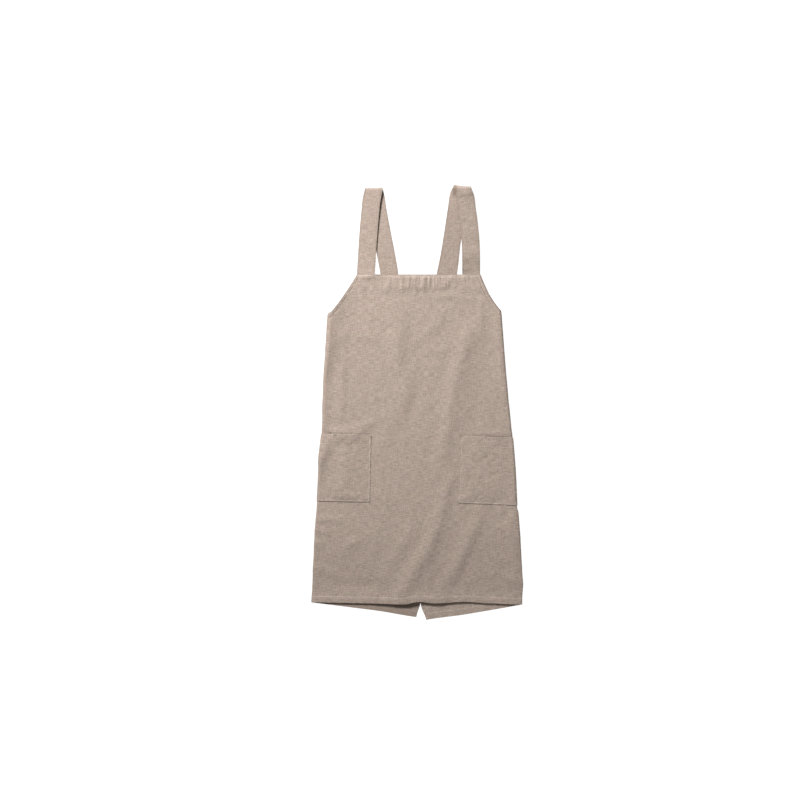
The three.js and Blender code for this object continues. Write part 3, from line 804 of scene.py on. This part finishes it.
# Body
body = {
    "backColumns": 23,
    "foldColumns": 8,
    "sideColumns": 26,
    "bibColumns": 55,
    # rows between these heights, and above the last one between these shares of the way to the top edge
    "levels": ((0, 12), (0.030, 90), (0.424, 14), (0.442, 46), (0.640, 0)),
    "shares": ((0, 36), (0.74, 6), (0.79, 8), (0.955, 7), (1, 0)),
}


def sideColumnLines(side):
    # straight lines of the flat cloth as their x at the hem and at the bib's top, from the back edge
    # to the middle
    sign = side["sign"]
    ends = np.array([0, frontLength])
    edge = centreAt(ends) + sign * clothWidth / 2
    centre = centreAt(ends)

    def foldLine(beyond):
        low = side["x"] + sign * beyond / np.cos(side["slant"])
        return np.array([low, low - sign * frontLength * np.tan(side["slant"])])

    def between(a, b, count):
        return a + (b - a) * np.linspace(0, 1, count, endpoint=False)[:, None]

    start = foldLine(0)
    corner = centre + (start - centre) * (sign * halfBib / (start[1] - centre[1]))
    turns = [foldLine(foldArc * i / body["foldColumns"]) for i in range(body["foldColumns"], 0, -1)]
    return np.concatenate([
        between(edge, foldLine(foldArc), body["backColumns"]),
        np.array(turns),
        between(start, corner, body["sideColumns"]),
        between(corner, centre, body["bibColumns"]),
    ])


def stepsBetween(rows):
    # even steps from each row's height up to the next, as many as the row says
    return np.concatenate([np.linspace(a[0], b[0], a[1], endpoint=False) for a, b in zip(rows, rows[1:])])


def bodyGrid():
    # columns along the lines, and each column's top found by halving its way to the armhole's edge
    left = sideColumnLines(leftSide)
    right = sideColumnLines(rightSide)[::-1]
    middle = np.array([[centreAt(0), centreAt(frontLength)]])
    low, high = np.concatenate([left, middle, right]).T
    bottom = np.zeros_like(low)
    top = np.full_like(low, frontLength)
    whole = frontLength - topEdge(np.abs(high - armholeCentre(frontLength))) <= 1e-6
    for step in range(40):
        half = (bottom + top) / 2
        at = low + (high - low) * half / frontLength
        below = half < topEdge(np.abs(at - armholeCentre(half)))
        bottom = np.where(below, half, bottom)
        top = np.where(below, top, half)
    top = np.where(whole, frontLength, bottom)
    levels = stepsBetween(body["levels"])
    last = body["levels"][-1][0]
    shares = np.append(stepsBetween(body["shares"]), 1)
    y = np.concatenate([
        np.repeat(levels[:, None], len(top), axis=1),
        last + (top[None, :] - last) * shares[:, None],
    ])
    x = low[None, :] + (high - low)[None, :] * y / frontLength
    return x, y


def bodySurface(x, y):
    # the laid cloth with its seams, and where its stitches, front and doubled edges are
    grid = layCloth(x, y)
    rise, lines = seamHeight(x, y)
    back = np.maximum(beyondFold(leftSide, x, y)[0], beyondFold(rightSide, x, y)[0])
    front = 1 - smoothRamp(back, 0, foldArc)
    edgeAway = clothWidth / 2 - np.abs(x - centreAt(y))
    grid[..., 2] += rise * front
    hem = np.maximum(doubled(y, "hem"), doubled(edgeAway, "centreBack"))
    lines = np.maximum(lines, groove(edgeAway - seams["centreBack"]))
    return grid, lines, front, hem


# Painted shade: how dark the cloth is painted at most along its seams and at the armhole's rim
shadeLevels = {
    "seams": 0.2,
    "rim": 0.8,
    "rimWidth": 0.004,
    # start and length of each ramp, as shares of the side fold's arc and then in metres
    "turnStart": (-0.05, 0.4),
    "turnEnd": (0.7, 0.3),
    "cornerAcross": (0.03, 0.14),
    "cornerUp": (0.02, 0.06),
}


def paintedShade(lines, x, y):
    # painted shade: a little along the seams' grooves, and more at the armhole's rim, along the left side's
    # turn, where it dims the lit rounding, and at the left back panel's corner, which lies in the front hem's
    # shade
    beyond = beyondFold(leftSide, x, y)[0]
    turn = beyond / foldArc
    rim = shadeLevels["rim"] * (1 - smoothRamp(armholeDistance(x, y), 0, shadeLevels["rimWidth"])) * (turn < 0)
    atTurn = smoothRamp(turn, *shadeLevels["turnStart"]) * (1 - smoothRamp(turn, *shadeLevels["turnEnd"]))
    corner = smoothRamp(beyond, *shadeLevels["cornerAcross"]) * (1 - smoothRamp(y, *shadeLevels["cornerUp"]))
    return np.maximum.reduce([shadeLevels["seams"] * lines, atTurn, rim, corner])


# Stitches
stitch = {
    "pitch": 0.0031,
    "length": 0.0025,
    "radius": 0.00042,
    "endShare": 0.45,  # of the radius at both ends
    "sink": 0.00022,
    "over": 0.0001,  # height of its middle over the cloth
}
clothOver = apron["cloth"] / 2 + stitch["over"]


def stitchRow(points, normals):
    # places at even steps along the path, as middles, ways along and normals
    length = pathLengths(points)
    even = np.arange(stitch["pitch"] / 2, length[-1], stitch["pitch"])
    middle, way, up = [
        np.stack([np.interp(even, length, column) for column in columns.T], axis=-1)
        for columns in (points, np.gradient(points, axis=0), normals)
    ]
    return middle, unit(way), unit(up)


def stitchPiece(name, rows, material):
    # each stitch is a short rod of three square rings, thin and sunk at its ends
    middle, way, up = [np.concatenate(parts) for parts in zip(*rows)]
    side = np.cross(up, way)
    along = np.repeat([-0.5, 0.0, 0.5], 4) * stitch["length"]
    thin = np.repeat([stitch["endShare"], 1.0, stitch["endShare"]], 4) * stitch["radius"]
    turn = np.tile(np.arange(4) * np.pi / 2 + np.pi / 4, 3)
    across = thin * np.cos(turn)
    high = thin * np.sin(turn) - np.repeat([1, 0, 1], 4) * stitch["sink"]
    points = (middle[:, None] + way[:, None] * along[None, :, None]
              + side[:, None] * across[None, :, None] + up[:, None] * high[None, :, None])
    quads = [(r + i, r + (i + 1) % 4, r + 4 + (i + 1) % 4, r + 4 + i) for r in (0, 4) for i in range(4)]
    quads += [(3, 2, 1, 0), (8, 9, 10, 11)]
    faces = (np.array(quads)[None] + 12 * np.arange(len(middle))[:, None, None]).reshape(-1, 4)
    points = points.reshape(-1, 3)
    points[:, 2] = np.maximum(points[:, 2], 0)  # the undersides' stitches are pressed flat
    return buildPiece(name, intoFrame(points), faces, material)


def gridStitches(grid, rows, columns, away=clothOver, skin=1):
    # a straight row of stitches between two places of a piece's grid, as fractions of its rows and columns
    count = 500
    row = np.clip(np.linspace(*rows, count), 0, grid.shape[0] - 1.001)
    column = np.clip(np.linspace(*columns, count), 0, grid.shape[1] - 1.001)
    r, c = row.astype(int), column.astype(int)
    u, v = (row - r)[:, None], (column - c)[:, None]
    path, up = [
        (f[r, c] * (1 - u) + f[r + 1, c] * u) * (1 - v) + (f[r, c + 1] * (1 - u) + f[r + 1, c + 1] * u) * v
        for f in (grid, surfaceNormals(grid))
    ]
    return stitchRow(path + up * away * skin, up * skin)


def bodyStitches(x, y, skins=(1,)):
    # a row of stitches through points of the flat cloth, on its outer skin (1) or its inner one (-1)
    x, y = np.atleast_2d(x), np.atleast_2d(y)
    step = 0.0005
    here = bodySurface(x, y)[0]
    normals = unit(np.cross(bodySurface(x + step, y)[0] - here, bodySurface(x, y + step)[0] - here)[0])
    return [stitchRow(here[0] + normals * clothOver * skin, normals * skin) for skin in skins]


x, y = bodyGrid()
grid, lines, front, hem = bodySurface(x, y)
outer = np.full(x.shape, apron["cloth"] / 2)
inner = apron["cloth"] / 2 + (seams["rise"] * hem - seams["backGroove"] * lines) * (1 - front)
flat = np.stack([x, y], axis=-1)
bodyPiece = clothWall("apron_body", grid, flat, clothLinen, outer, inner, paintedShade(lines, x, y))
print("body", x.shape)

# the rows of stitches start and end a little inside the cloth's edges
rowEnds = {"hem": 0.004, "bibTop": 0.002, "band": 0.003, "armhole": 0.003}
endX = clothWidth / 2 - rowEnds["hem"]
hemX = np.linspace(-endX, endX, 700)
bibTopX = np.linspace(-halfBib + rowEnds["bibTop"], halfBib - rowEnds["bibTop"], 240)
bandX = np.linspace(-1, 1, 240) * (bibHalfAt(bandY) - rowEnds["band"])
bodyRows = [
    *bodyStitches(hemX + centreAt(0), np.full_like(hemX, seams["hem"]), (1, -1)),
    *bodyStitches(bibTopX + armholeCentre(frontLength), np.full_like(bibTopX, frontLength - seams["bibTop"])),
    *bodyStitches(bandX + armholeCentre(bandY), np.full_like(bandX, bandY)),
]
edgeSlopeX, edgeSlopeY = np.gradient(armholeX), np.gradient(armholeY)
edgeLength = np.hypot(edgeSlopeX, edgeSlopeY)
insideX = armholeX + edgeSlopeY / edgeLength * seams["armhole"]
insideY = armholeY - edgeSlopeX / edgeLength * seams["armhole"]
keep = insideY < frontLength - rowEnds["armhole"]
backY = np.linspace(seams["hem"], apron["backHeight"] - seams["armhole"], 400)
for sign in (-1, 1):
    bodyRows += bodyStitches(sign * insideX[keep] + armholeCentre(insideY[keep]), insideY[keep], (1, -1))
    topX = centreAt(apron["backHeight"]) + sign * np.linspace(armholeX[-1], endX, 120)
    bodyRows += bodyStitches(topX, np.full_like(topX, apron["backHeight"] - seams["armhole"]), (1, -1))
    bodyRows += bodyStitches(centreAt(backY) + sign * (clothWidth / 2 - seams["centreBack"]), backY, (1, -1))
bodyThread = stitchPiece("body_stitches", bodyRows, thread)
print("body stitches", len(bodyThread.data.polygons) // 10)

# Pockets
pocketLook = {
    "rows": 84,
    "columns": 90,
    "swell": 0.0012,  # in the middle
    "swellReach": 0.04,
    "bandRise": 0.0004,
    "groove": 0.0002,
    "grooveWidth": 0.002,
    "ripple": 0.00045,  # along the seams
    "rippleReach": 0.006,
    "rippleWaves": (230, 260, 1.3),  # radians to a metre across and down, and where they start
    "crumpleScale": 1.7,
}


def pocketPiece(name):
    # a grid over the pocket, laid as the cloth under it is and lifted clear of it
    shares = [np.linspace(0, 1, pocketLook["columns"]), np.linspace(1, 0, pocketLook["rows"])]
    across, down = np.meshgrid(*shares)
    if name == "left":
        across = across[:, ::-1]
    x, y = pocketPoint(name, across, down)
    # undo the hem's tilt, because layCloth puts it in
    flatY = y.copy()
    for step in range(4):
        flatY = y - hemAt(x) * (1 - flatY / frontLength)
    grid = layCloth(x, flatY)
    normals = surfaceNormals(grid)
    acrossLength = across * pockets["width"]
    downLength = down * pockets["height"]
    edge = np.minimum.reduce([acrossLength, pockets["width"] - acrossLength, pockets["height"] - downLength])
    front = 1 - smoothRamp(beyondFold(pockets[name]["side"], x, y)[0], -0.03, 0.03)
    lines = np.maximum(
        bell(edge - pockets["seamInset"], pocketLook["grooveWidth"]),
        bell(downLength - pockets["bandDepth"], pocketLook["grooveWidth"]),
    )
    scale = pocketLook["crumpleScale"]
    crumples = (crumpleHeight(x * scale + 3, y * scale) + crumple["height"]) * smoothRamp(edge, 0, 0.02)
    wavesAcross, wavesDown, start = pocketLook["rippleWaves"]
    wave = 0.5 + 0.5 * np.sin(acrossLength * wavesAcross + downLength * wavesDown + start)
    raised = (
        pockets["edgeLift"] - apron["layerStep"]
        + pocketLook["ripple"] * wave * bell(edge, pocketLook["rippleReach"])
        + pocketLook["swell"] * smoothRamp(edge, 0.002, pocketLook["swellReach"])
        + pocketLook["bandRise"] * (1 - smoothRamp(downLength, pockets["bandDepth"] - 0.002, 0.003))
        - pocketLook["groove"] * lines
        + crumples
        + pockets["mouthDip"] * mouthLine(downLength)
    )
    grid = grid + normals * (apron["layerStep"] + raised * front)[..., None]
    half = np.full(x.shape, apron["cloth"] / 2)
    flat = np.stack([x, y], axis=-1)
    piece = clothWall("pocket_" + name + "_cloth", grid, flat, pocketLinen, half, half, paintedShade(lines, x, y))
    rows, columns = pocketLook["rows"] - 1, pocketLook["columns"] - 1
    insetRow = pockets["seamInset"] / pockets["height"] * rows
    insetColumn = pockets["seamInset"] / pockets["width"] * columns
    bandRow = rows * (1 - pockets["bandDepth"] / pockets["height"])
    sewn = [
        gridStitches(grid, (insetRow, insetRow), (insetColumn, columns - insetColumn)),
        gridStitches(grid, (bandRow, bandRow), (0.5, columns - 0.5)),
        gridStitches(grid, (rows - 0.6, rows - 0.6), (0.5, columns - 0.5)),
    ]
    for column in (insetColumn, columns - insetColumn):
        sewn.append(gridStitches(grid, (insetRow, rows - 0.6), (column, column)))
    return piece, stitchPiece("pocket_" + name + "_stitches", sewn, thread)


leftPocket, leftPocketThread = pocketPiece("left")
rightPocket, rightPocketThread = pocketPiece("right")
print("pockets")

# Straps: the runs' rows are the share of the rise over the bib and the place across as a share of its width,
# and the profile's are in millimetres above the bib's top, with the front run's height and its sideways slope
# in hundredths
straps = {
    "width": 0.045,
    "rise": 0.225,
    "seam": 0.040,  # how far the front ends reach down behind the band
    "inset": 0.028,  # of the sewn ends from the back panels' edges
    "thickness": 0.002,
    "edgeShare": 0.82,  # of the thickness at the edges
    "edgeRound": 0.004,
    "seamInset": 0.003,
    "groove": 0.0002,
    "grooveWidth": 0.0015,
    "seamShade": 0.08,
    "seamWidth": 0.0018,
    "edgeShade": 0.5,
    "edgeWidth": 0.0022,
    "dimPlace": (0.42, 0.009),  # share of the width towards the open end, and metres in from the fold
    "dimReach": (0.0055, 0.014),  # across the strap and along it
    "spread": 0.0014,  # wider where it is free
    "openReach": 0.055,  # how far from the shoulder fold a loop opens
    "columns": 21,
    "turnRows": 13,
    "spacing": 0.0035,
    "leanFrom": (0.01, 0.05),  # ramp of the back run's lean, from the fold
    "stitchOver": 0.94,  # of the half thickness, to the middle of the stitches
    "left": {
        "front": ((0, -0.4288), (0.5, -0.407), (0.785, -0.3885), (1, -0.3656)),
        "back": ((0.5, -0.3), (0, -0.2369)),
        "other": rightSide,
        "tailLevel": 0.0063,
        "flare": 0.0,
        "profile": ((-40, 8.7, 0), (0, 8.7, 0), (22, 6.4, 2), (60, 5.2, 3), (140, 5.4, 3),
                    (190, 7.0, 2), (225, 7.6, 0)),
        "open": 4.5,  # degrees
        "backRoll": -2,
        "dim": 0.3,
    },
    "right": {
        "front": ((0, 0.4247), (0.412, 0.4191), (0.847, 0.3825), (1.022, 0.354)),
        "back": ((0.9, 0.326), (0.413, 0.2712), (0, 0.2265)),
        "other": leftSide,
        "tailLevel": 0.0025,
        "flare": 0.14,
        "profile": ((-40, 8.7, 0), (0, 8.7, -2), (18, 10.6, -14), (45, 12.4, -15), (85, 9.0, -13),
                    (140, 7.6, -13), (180, 6.6, -11), (200, 7.4, -7), (212, 10.0, -3), (225, 10.8, 0)),
        "open": -6.0,
        "backRoll": -11,
        "dim": 1.3,
    },
    # heights of the strap's middle between the bib and its facing and on the floor
    "frontLevel": frontLevel - 0.0019,
    "backLevel": 0.001,
}
foldRadius = (straps["frontLevel"] - straps["backLevel"]) / 2
strapReach = straps["rise"] - foldRadius - straps["thickness"] / 2


def smoothPath(places, spacing):
    # a centripetal Catmull-Rom curve through the places, in even steps
    places = np.array(places)
    places = np.concatenate([[2 * places[0] - places[1]], places, [2 * places[-1] - places[-2]]])
    t = np.linspace(0, 1, 60)[:, None]
    runs = []
    for a, b, c, d in zip(places, places[1:], places[2:], places[3:]):
        ab, bc, cd = [np.sqrt(np.linalg.norm(q - p)) for p, q in ((a, b), (b, c), (c, d))]
        start = ((b - a) / ab - (c - a) / (ab + bc) + (c - b) / bc) * bc
        end = ((c - b) / bc - (d - b) / (bc + cd) + (d - c) / cd) * bc
        runs.append((2 * t**3 - 3 * t**2 + 1) * b + (t**3 - 2 * t**2 + t) * start
                    + (3 * t**2 - 2 * t**3) * c + (t**3 - t**2) * end)
    path = np.concatenate(runs)
    path = path[np.concatenate([[True], np.linalg.norm(np.diff(path, axis=0), axis=1) > 1e-9])]
    length = pathLengths(path)
    even = np.linspace(0, length[-1], max(8, int(round(length[-1] / spacing))))
    return np.stack([np.interp(even, length, path[:, i]) for i in range(2)], axis=-1)


def strapPiece(name):
    # the front run, a half turn at the shoulder fold and the back run, as lines across one path
    strap = straps[name]

    def place(up, across):
        return np.array([bibShift + across * apron["bibWidth"], frontLength + up * strapReach])

    frontPlaces = [place(*row) for row in strap["front"]]
    frontPlaces.insert(0, frontPlaces[0] + unit(frontPlaces[0] - frontPlaces[1]) * straps["seam"])
    inset = straps["inset"] + straps["width"] / 2
    backPlaces = [frontPlaces[-1]] + [place(*row) for row in strap["back"]]
    down = apron["strapTail"]
    backPlaces += [np.array(panelPoint(strap["other"], inset, way * down)) for way in (-1, 0, 1)]
    frontRun = smoothPath(frontPlaces, straps["spacing"])
    backRun = smoothPath(backPlaces, straps["spacing"])
    frontWay = unit(np.gradient(frontRun, axis=0))
    backWay = unit(np.gradient(backRun, axis=0))
    foldWay = unit(frontWay[-1] + backWay[0])
    foldWay = foldWay * np.sign(foldWay[0])
    foldPoint = frontRun[-1]
    foldOut = np.array([-foldWay[1], foldWay[0]])

    def fromFold(points):
        return np.linalg.norm(points - foldPoint, axis=1)

    def crossLines(run, way, sign):
        # square to the path, and along the fold's line near it
        square = sign * np.stack([way[:, 1], -way[:, 0]], axis=-1)
        turn = 1 - smoothRamp(fromFold(run), 0, straps["width"])
        return unit(square + (foldWay - square) * turn[:, None])

    angle = np.linspace(0, np.pi, straps["turnRows"])
    turnRun = foldPoint + foldOut * (foldRadius * np.sin(angle))[:, None]
    places, levels, rolls = np.array(strap["profile"]).T
    frontLevels = smoothTable(frontRun[:, 1] - frontLength, places, levels)
    roll = smoothTable(frontRun[:, 1] - frontLength, places, rolls) * 10
    foldLevel = frontLevels[-1]
    turnLevel = straps["backLevel"] + (foldLevel - straps["backLevel"]) * (1 + np.cos(angle)) / 2
    tail = 1 - smoothRamp(backRun[:, 1], panelTop[1] + 2 * straps["inset"], cell)
    backLevels = straps["backLevel"] + (strap["tailLevel"] - straps["backLevel"]) * tail
    # the back run leans, with its lower edge on what lies under it
    lean = strap["backRoll"] / 100 * (1 - tail) * smoothRamp(fromFold(backRun), *straps["leanFrom"])
    backLevels = backLevels + np.abs(lean) * straps["width"] / 2
    middle = np.concatenate([frontRun[:-1], turnRun, backRun[1:]])
    level = np.concatenate([frontLevels[:-1], turnLevel, backLevels[1:]])
    crossWay = np.concatenate([
        crossLines(frontRun, frontWay, 1)[:-1],
        np.repeat(foldWay[None], len(angle), axis=0),
        crossLines(backRun, backWay, -1)[1:],
    ])
    flare = np.concatenate([
        np.zeros(len(frontRun) - 1 + len(angle)),
        strap["flare"] * (1 - smoothRamp(backRun[1:, 1], frontLength - 0.02, 0.11)),
    ])
    across = np.linspace(-0.5, 0.5, straps["columns"])
    outside = smoothRamp(middle[:, 1], frontLength - 0.01, 0.02)
    wide = straps["width"] * (1 + flare) + straps["spread"] * outside
    flat = middle[:, None, :] + crossWay[:, None, :] * (across[None, :, None] * wide[:, None, None])
    # the loop at the fold is open at one end: the front run turns one way about the closed end, and the back
    # run the other
    about = foldPoint - foldWay * straps["width"] / 2 * np.sign(strap["open"])
    near = 1 - smoothRamp(fromFold(middle), foldRadius, straps["openReach"])
    lengthwise = np.concatenate([np.ones(len(frontRun) - 1), np.cos(angle), -np.ones(len(backRun) - 1)])
    turned = -radians(strap["open"]) * near * lengthwise
    cos, sin = np.cos(turned)[:, None], np.sin(turned)[:, None]
    awayX, awayY = np.moveaxis(flat - about, -1, 0)
    flat = about + np.stack([awayX * cos - awayY * sin, awayX * sin + awayY * cos], axis=-1)
    rolling = np.concatenate([roll[:-1], roll[-1] * (1 + np.cos(angle)) / 2, lean[1:]])
    heights = level[:, None] + rolling[:, None] * across[None, :] * straps["width"]
    grid = np.concatenate([flat, heights[..., None]], axis=-1)
    length = pathLengths(np.concatenate([middle, level[:, None]], axis=1))
    # the straps' cloth has places of its own in the weave
    weaveX = across[None, :] * straps["width"] + (5 if name == "left" else 6)
    uv = np.stack(np.broadcast_arrays(weaveX, length[:, None]), axis=-1)
    edge = (0.5 - np.abs(across)) * straps["width"]
    fromSeam = edge - straps["seamInset"]
    full = straps["edgeShare"] + (1 - straps["edgeShare"]) * smoothRamp(edge, 0, straps["edgeRound"])
    half = straps["thickness"] / 2 * full - straps["groove"] * bell(fromSeam, straps["grooveWidth"])
    half = np.broadcast_to(half, heights.shape)
    lines = straps["seamShade"] * bell(fromSeam, straps["seamWidth"])
    lines = lines + straps["edgeShade"] * (1 - smoothRamp(edge, 0, straps["edgeWidth"]))
    # dim inside the open end of the loop
    toOpen, inwards = straps["dimPlace"]
    mouth = foldPoint + foldWay * straps["width"] * toOpen * np.sign(strap["open"]) - foldOut * inwards
    wide, long = straps["dimReach"]
    dim = bell((flat - mouth) @ foldWay, wide) * bell((flat - mouth) @ foldOut, long)
    shade = np.maximum(lines, strap["dim"] * dim)
    piece = clothWall("strap_" + name + "_cloth", grid, uv, strapLinen, half, half, shade)
    last = straps["columns"] - 1
    inset = straps["seamInset"] / straps["width"] * last
    over = straps["thickness"] / 2 * straps["stitchOver"]
    sewn = [
        gridStitches(grid, (0, len(middle) - 1), (column, column), over, skin)
        for column in (inset, last - inset) for skin in (1, -1)
    ]
    return piece, stitchPiece("strap_" + name + "_stitches", sewn, flaxThread)


leftStrap, leftStrapThread = strapPiece("left")
rightStrap, rightStrapThread = strapPiece("right")
print("straps")

# Facing behind the top of the bib, lower where the strap ends lie on it
facing = {"columns": 130, "rows": 16, "rampInset": 0.014, "seamInset": 0.003, "seamWidth": 0.002}


def facingPiece():
    # a level strip behind the band, lowered by a ramp round each strap's end
    across, up = np.meshgrid(np.linspace(-1, 1, facing["columns"]), np.linspace(0, 1, facing["rows"]))
    y = frontLength - apron["bandDepth"] * (1 - up)
    x = armholeCentre(y) + across * (bibHalfAt(y) - 0.0004)
    gaps = []
    for name in ("left", "right"):
        (lowUp, lowAcross), (highUp, highAcross) = straps[name]["front"][:2]
        seamX = bibShift + lowAcross * apron["bibWidth"]
        lean = (highAcross - lowAcross) * apron["bibWidth"] / ((highUp - lowUp) * strapReach)
        gaps.append(np.abs(x - seamX - lean * (y - frontLength)))
    start = (straps["width"] + apron["bandDepth"]) / 2 - facing["rampInset"]
    atStrap = 1 - smoothRamp(np.minimum(*gaps), start, straps["inset"])
    z = frontLevel - apron["layerStep"] - apron["strapStep"] * atStrap
    grid = np.stack([x, y, z], axis=-1)
    half = np.full(x.shape, apron["cloth"] / 2)
    edge = np.minimum(frontLength - y, y - bandY)
    shade = shadeLevels["seams"] * bell(edge - facing["seamInset"], facing["seamWidth"])
    flat = np.stack([x, y + 2], axis=-1)  # a place of its own in the weave
    return clothWall("bib_facing_cloth", grid, flat, plainLinen, half, half, shade)


facingCloth = facingPiece()
print("facing")

for piece, node, slot in (
    (bodyPiece, "body", "linen"),
    (facingCloth, "bib_facing", "linen"),
    (leftStrap, "strap_left", "strap_linen"),
    (rightStrap, "strap_right", "strap_linen"),
    (leftPocket, "pocket_left", "pocket_linen"),
    (rightPocket, "pocket_right", "pocket_linen"),
):
    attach(piece, "root")
    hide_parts(node)

for piece, slot in (
    (bodyThread, "linen"),
    (leftStrapThread, "strap_linen"),
    (rightStrapThread, "strap_linen"),
    (leftPocketThread, "pocket_linen"),
    (rightPocketThread, "pocket_linen"),
):
    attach(piece, "root")

# Floor, light and camera
studio = {
    "floorColour": (0.2, 0.2, 0.2, 1),
    "floorRoughness": 0.9,
    "floorSpecular": 0.1,
    "floorGlow": 0.97,
    "floorReach": 12,
    "keyPlace": (-1.42, 2.05, 1.85),
    "keySize": 0.8,
    "keyPower": 150,
    "keyColour": (1.0, 0.98, 0.985),
    "fillPlace": (1.9, -0.7, 1.6),
    "fillSize": 1.4,
    "fillPower": 10,
    "fillColour": (1.0, 0.97, 0.94),
    "aim": (0.0, 0.05, 0.0),
    "air": 0.06,  # strength of the light from all sides
    "cameraPlace": (-0.0451, 0.0087, 4.905),
    "lens": 85,
}
floorMesh = bpy.data.meshes.new("floor")
far = studio["floorReach"]
floorMesh.from_pydata([(-far, -far, 0), (far, -far, 0), (far, far, 0), (-far, far, 0)], [], [(0, 1, 2, 3)])
floor = bpy.data.objects.new("floor", floorMesh)
bpy.context.scene.collection.objects.link(floor)
floorPaint = bpy.data.materials.new("floor")
floorPaint.use_nodes = True
floorShader = floorPaint.node_tree.nodes["Principled BSDF"]
for name, value in (
    ("Base Color", studio["floorColour"]),
    ("Roughness", studio["floorRoughness"]),
    ("Specular IOR Level", studio["floorSpecular"]),
    ("Emission Color", (1, 1, 1, 1)),
    ("Emission Strength", studio["floorGlow"]),
):
    floorShader.inputs[name].default_value = value
floorMesh.materials.append(floorPaint)


def softLight(name):
    # a square lamp turned to the aim
    light = bpy.data.objects.new(name, bpy.data.lights.new(name, "AREA"))
    light.data.size = studio[name + "Size"]
    light.data.energy = studio[name + "Power"]
    light.data.color = studio[name + "Colour"]
    light.location = studio[name + "Place"]
    aim = np.array(studio["aim"]) - np.array(light.location)
    light.rotation_euler = (np.arctan2(np.hypot(aim[0], aim[1]), -aim[2]), 0, np.arctan2(-aim[0], aim[1]))
    bpy.context.scene.collection.objects.link(light)


softLight("key")
softLight("fill")

world = bpy.data.worlds.new("studio")
world.use_nodes = True
world.node_tree.nodes["Background"].inputs["Color"].default_value = (1, 1, 1, 1)
world.node_tree.nodes["Background"].inputs["Strength"].default_value = studio["air"]
bpy.context.scene.world = world
bpy.context.scene.view_settings.view_transform = "Standard"

camera = bpy.data.objects.new("camera", bpy.data.cameras.new("camera"))
camera.data.lens = studio["lens"]
camera.data.sensor_width = 36
camera.data.clip_end = 50
camera.location = studio["cameraPlace"]
bpy.context.scene.collection.objects.link(camera)
bpy.context.scene.camera = camera
print("studio")

bpy.context.view_layer.update()
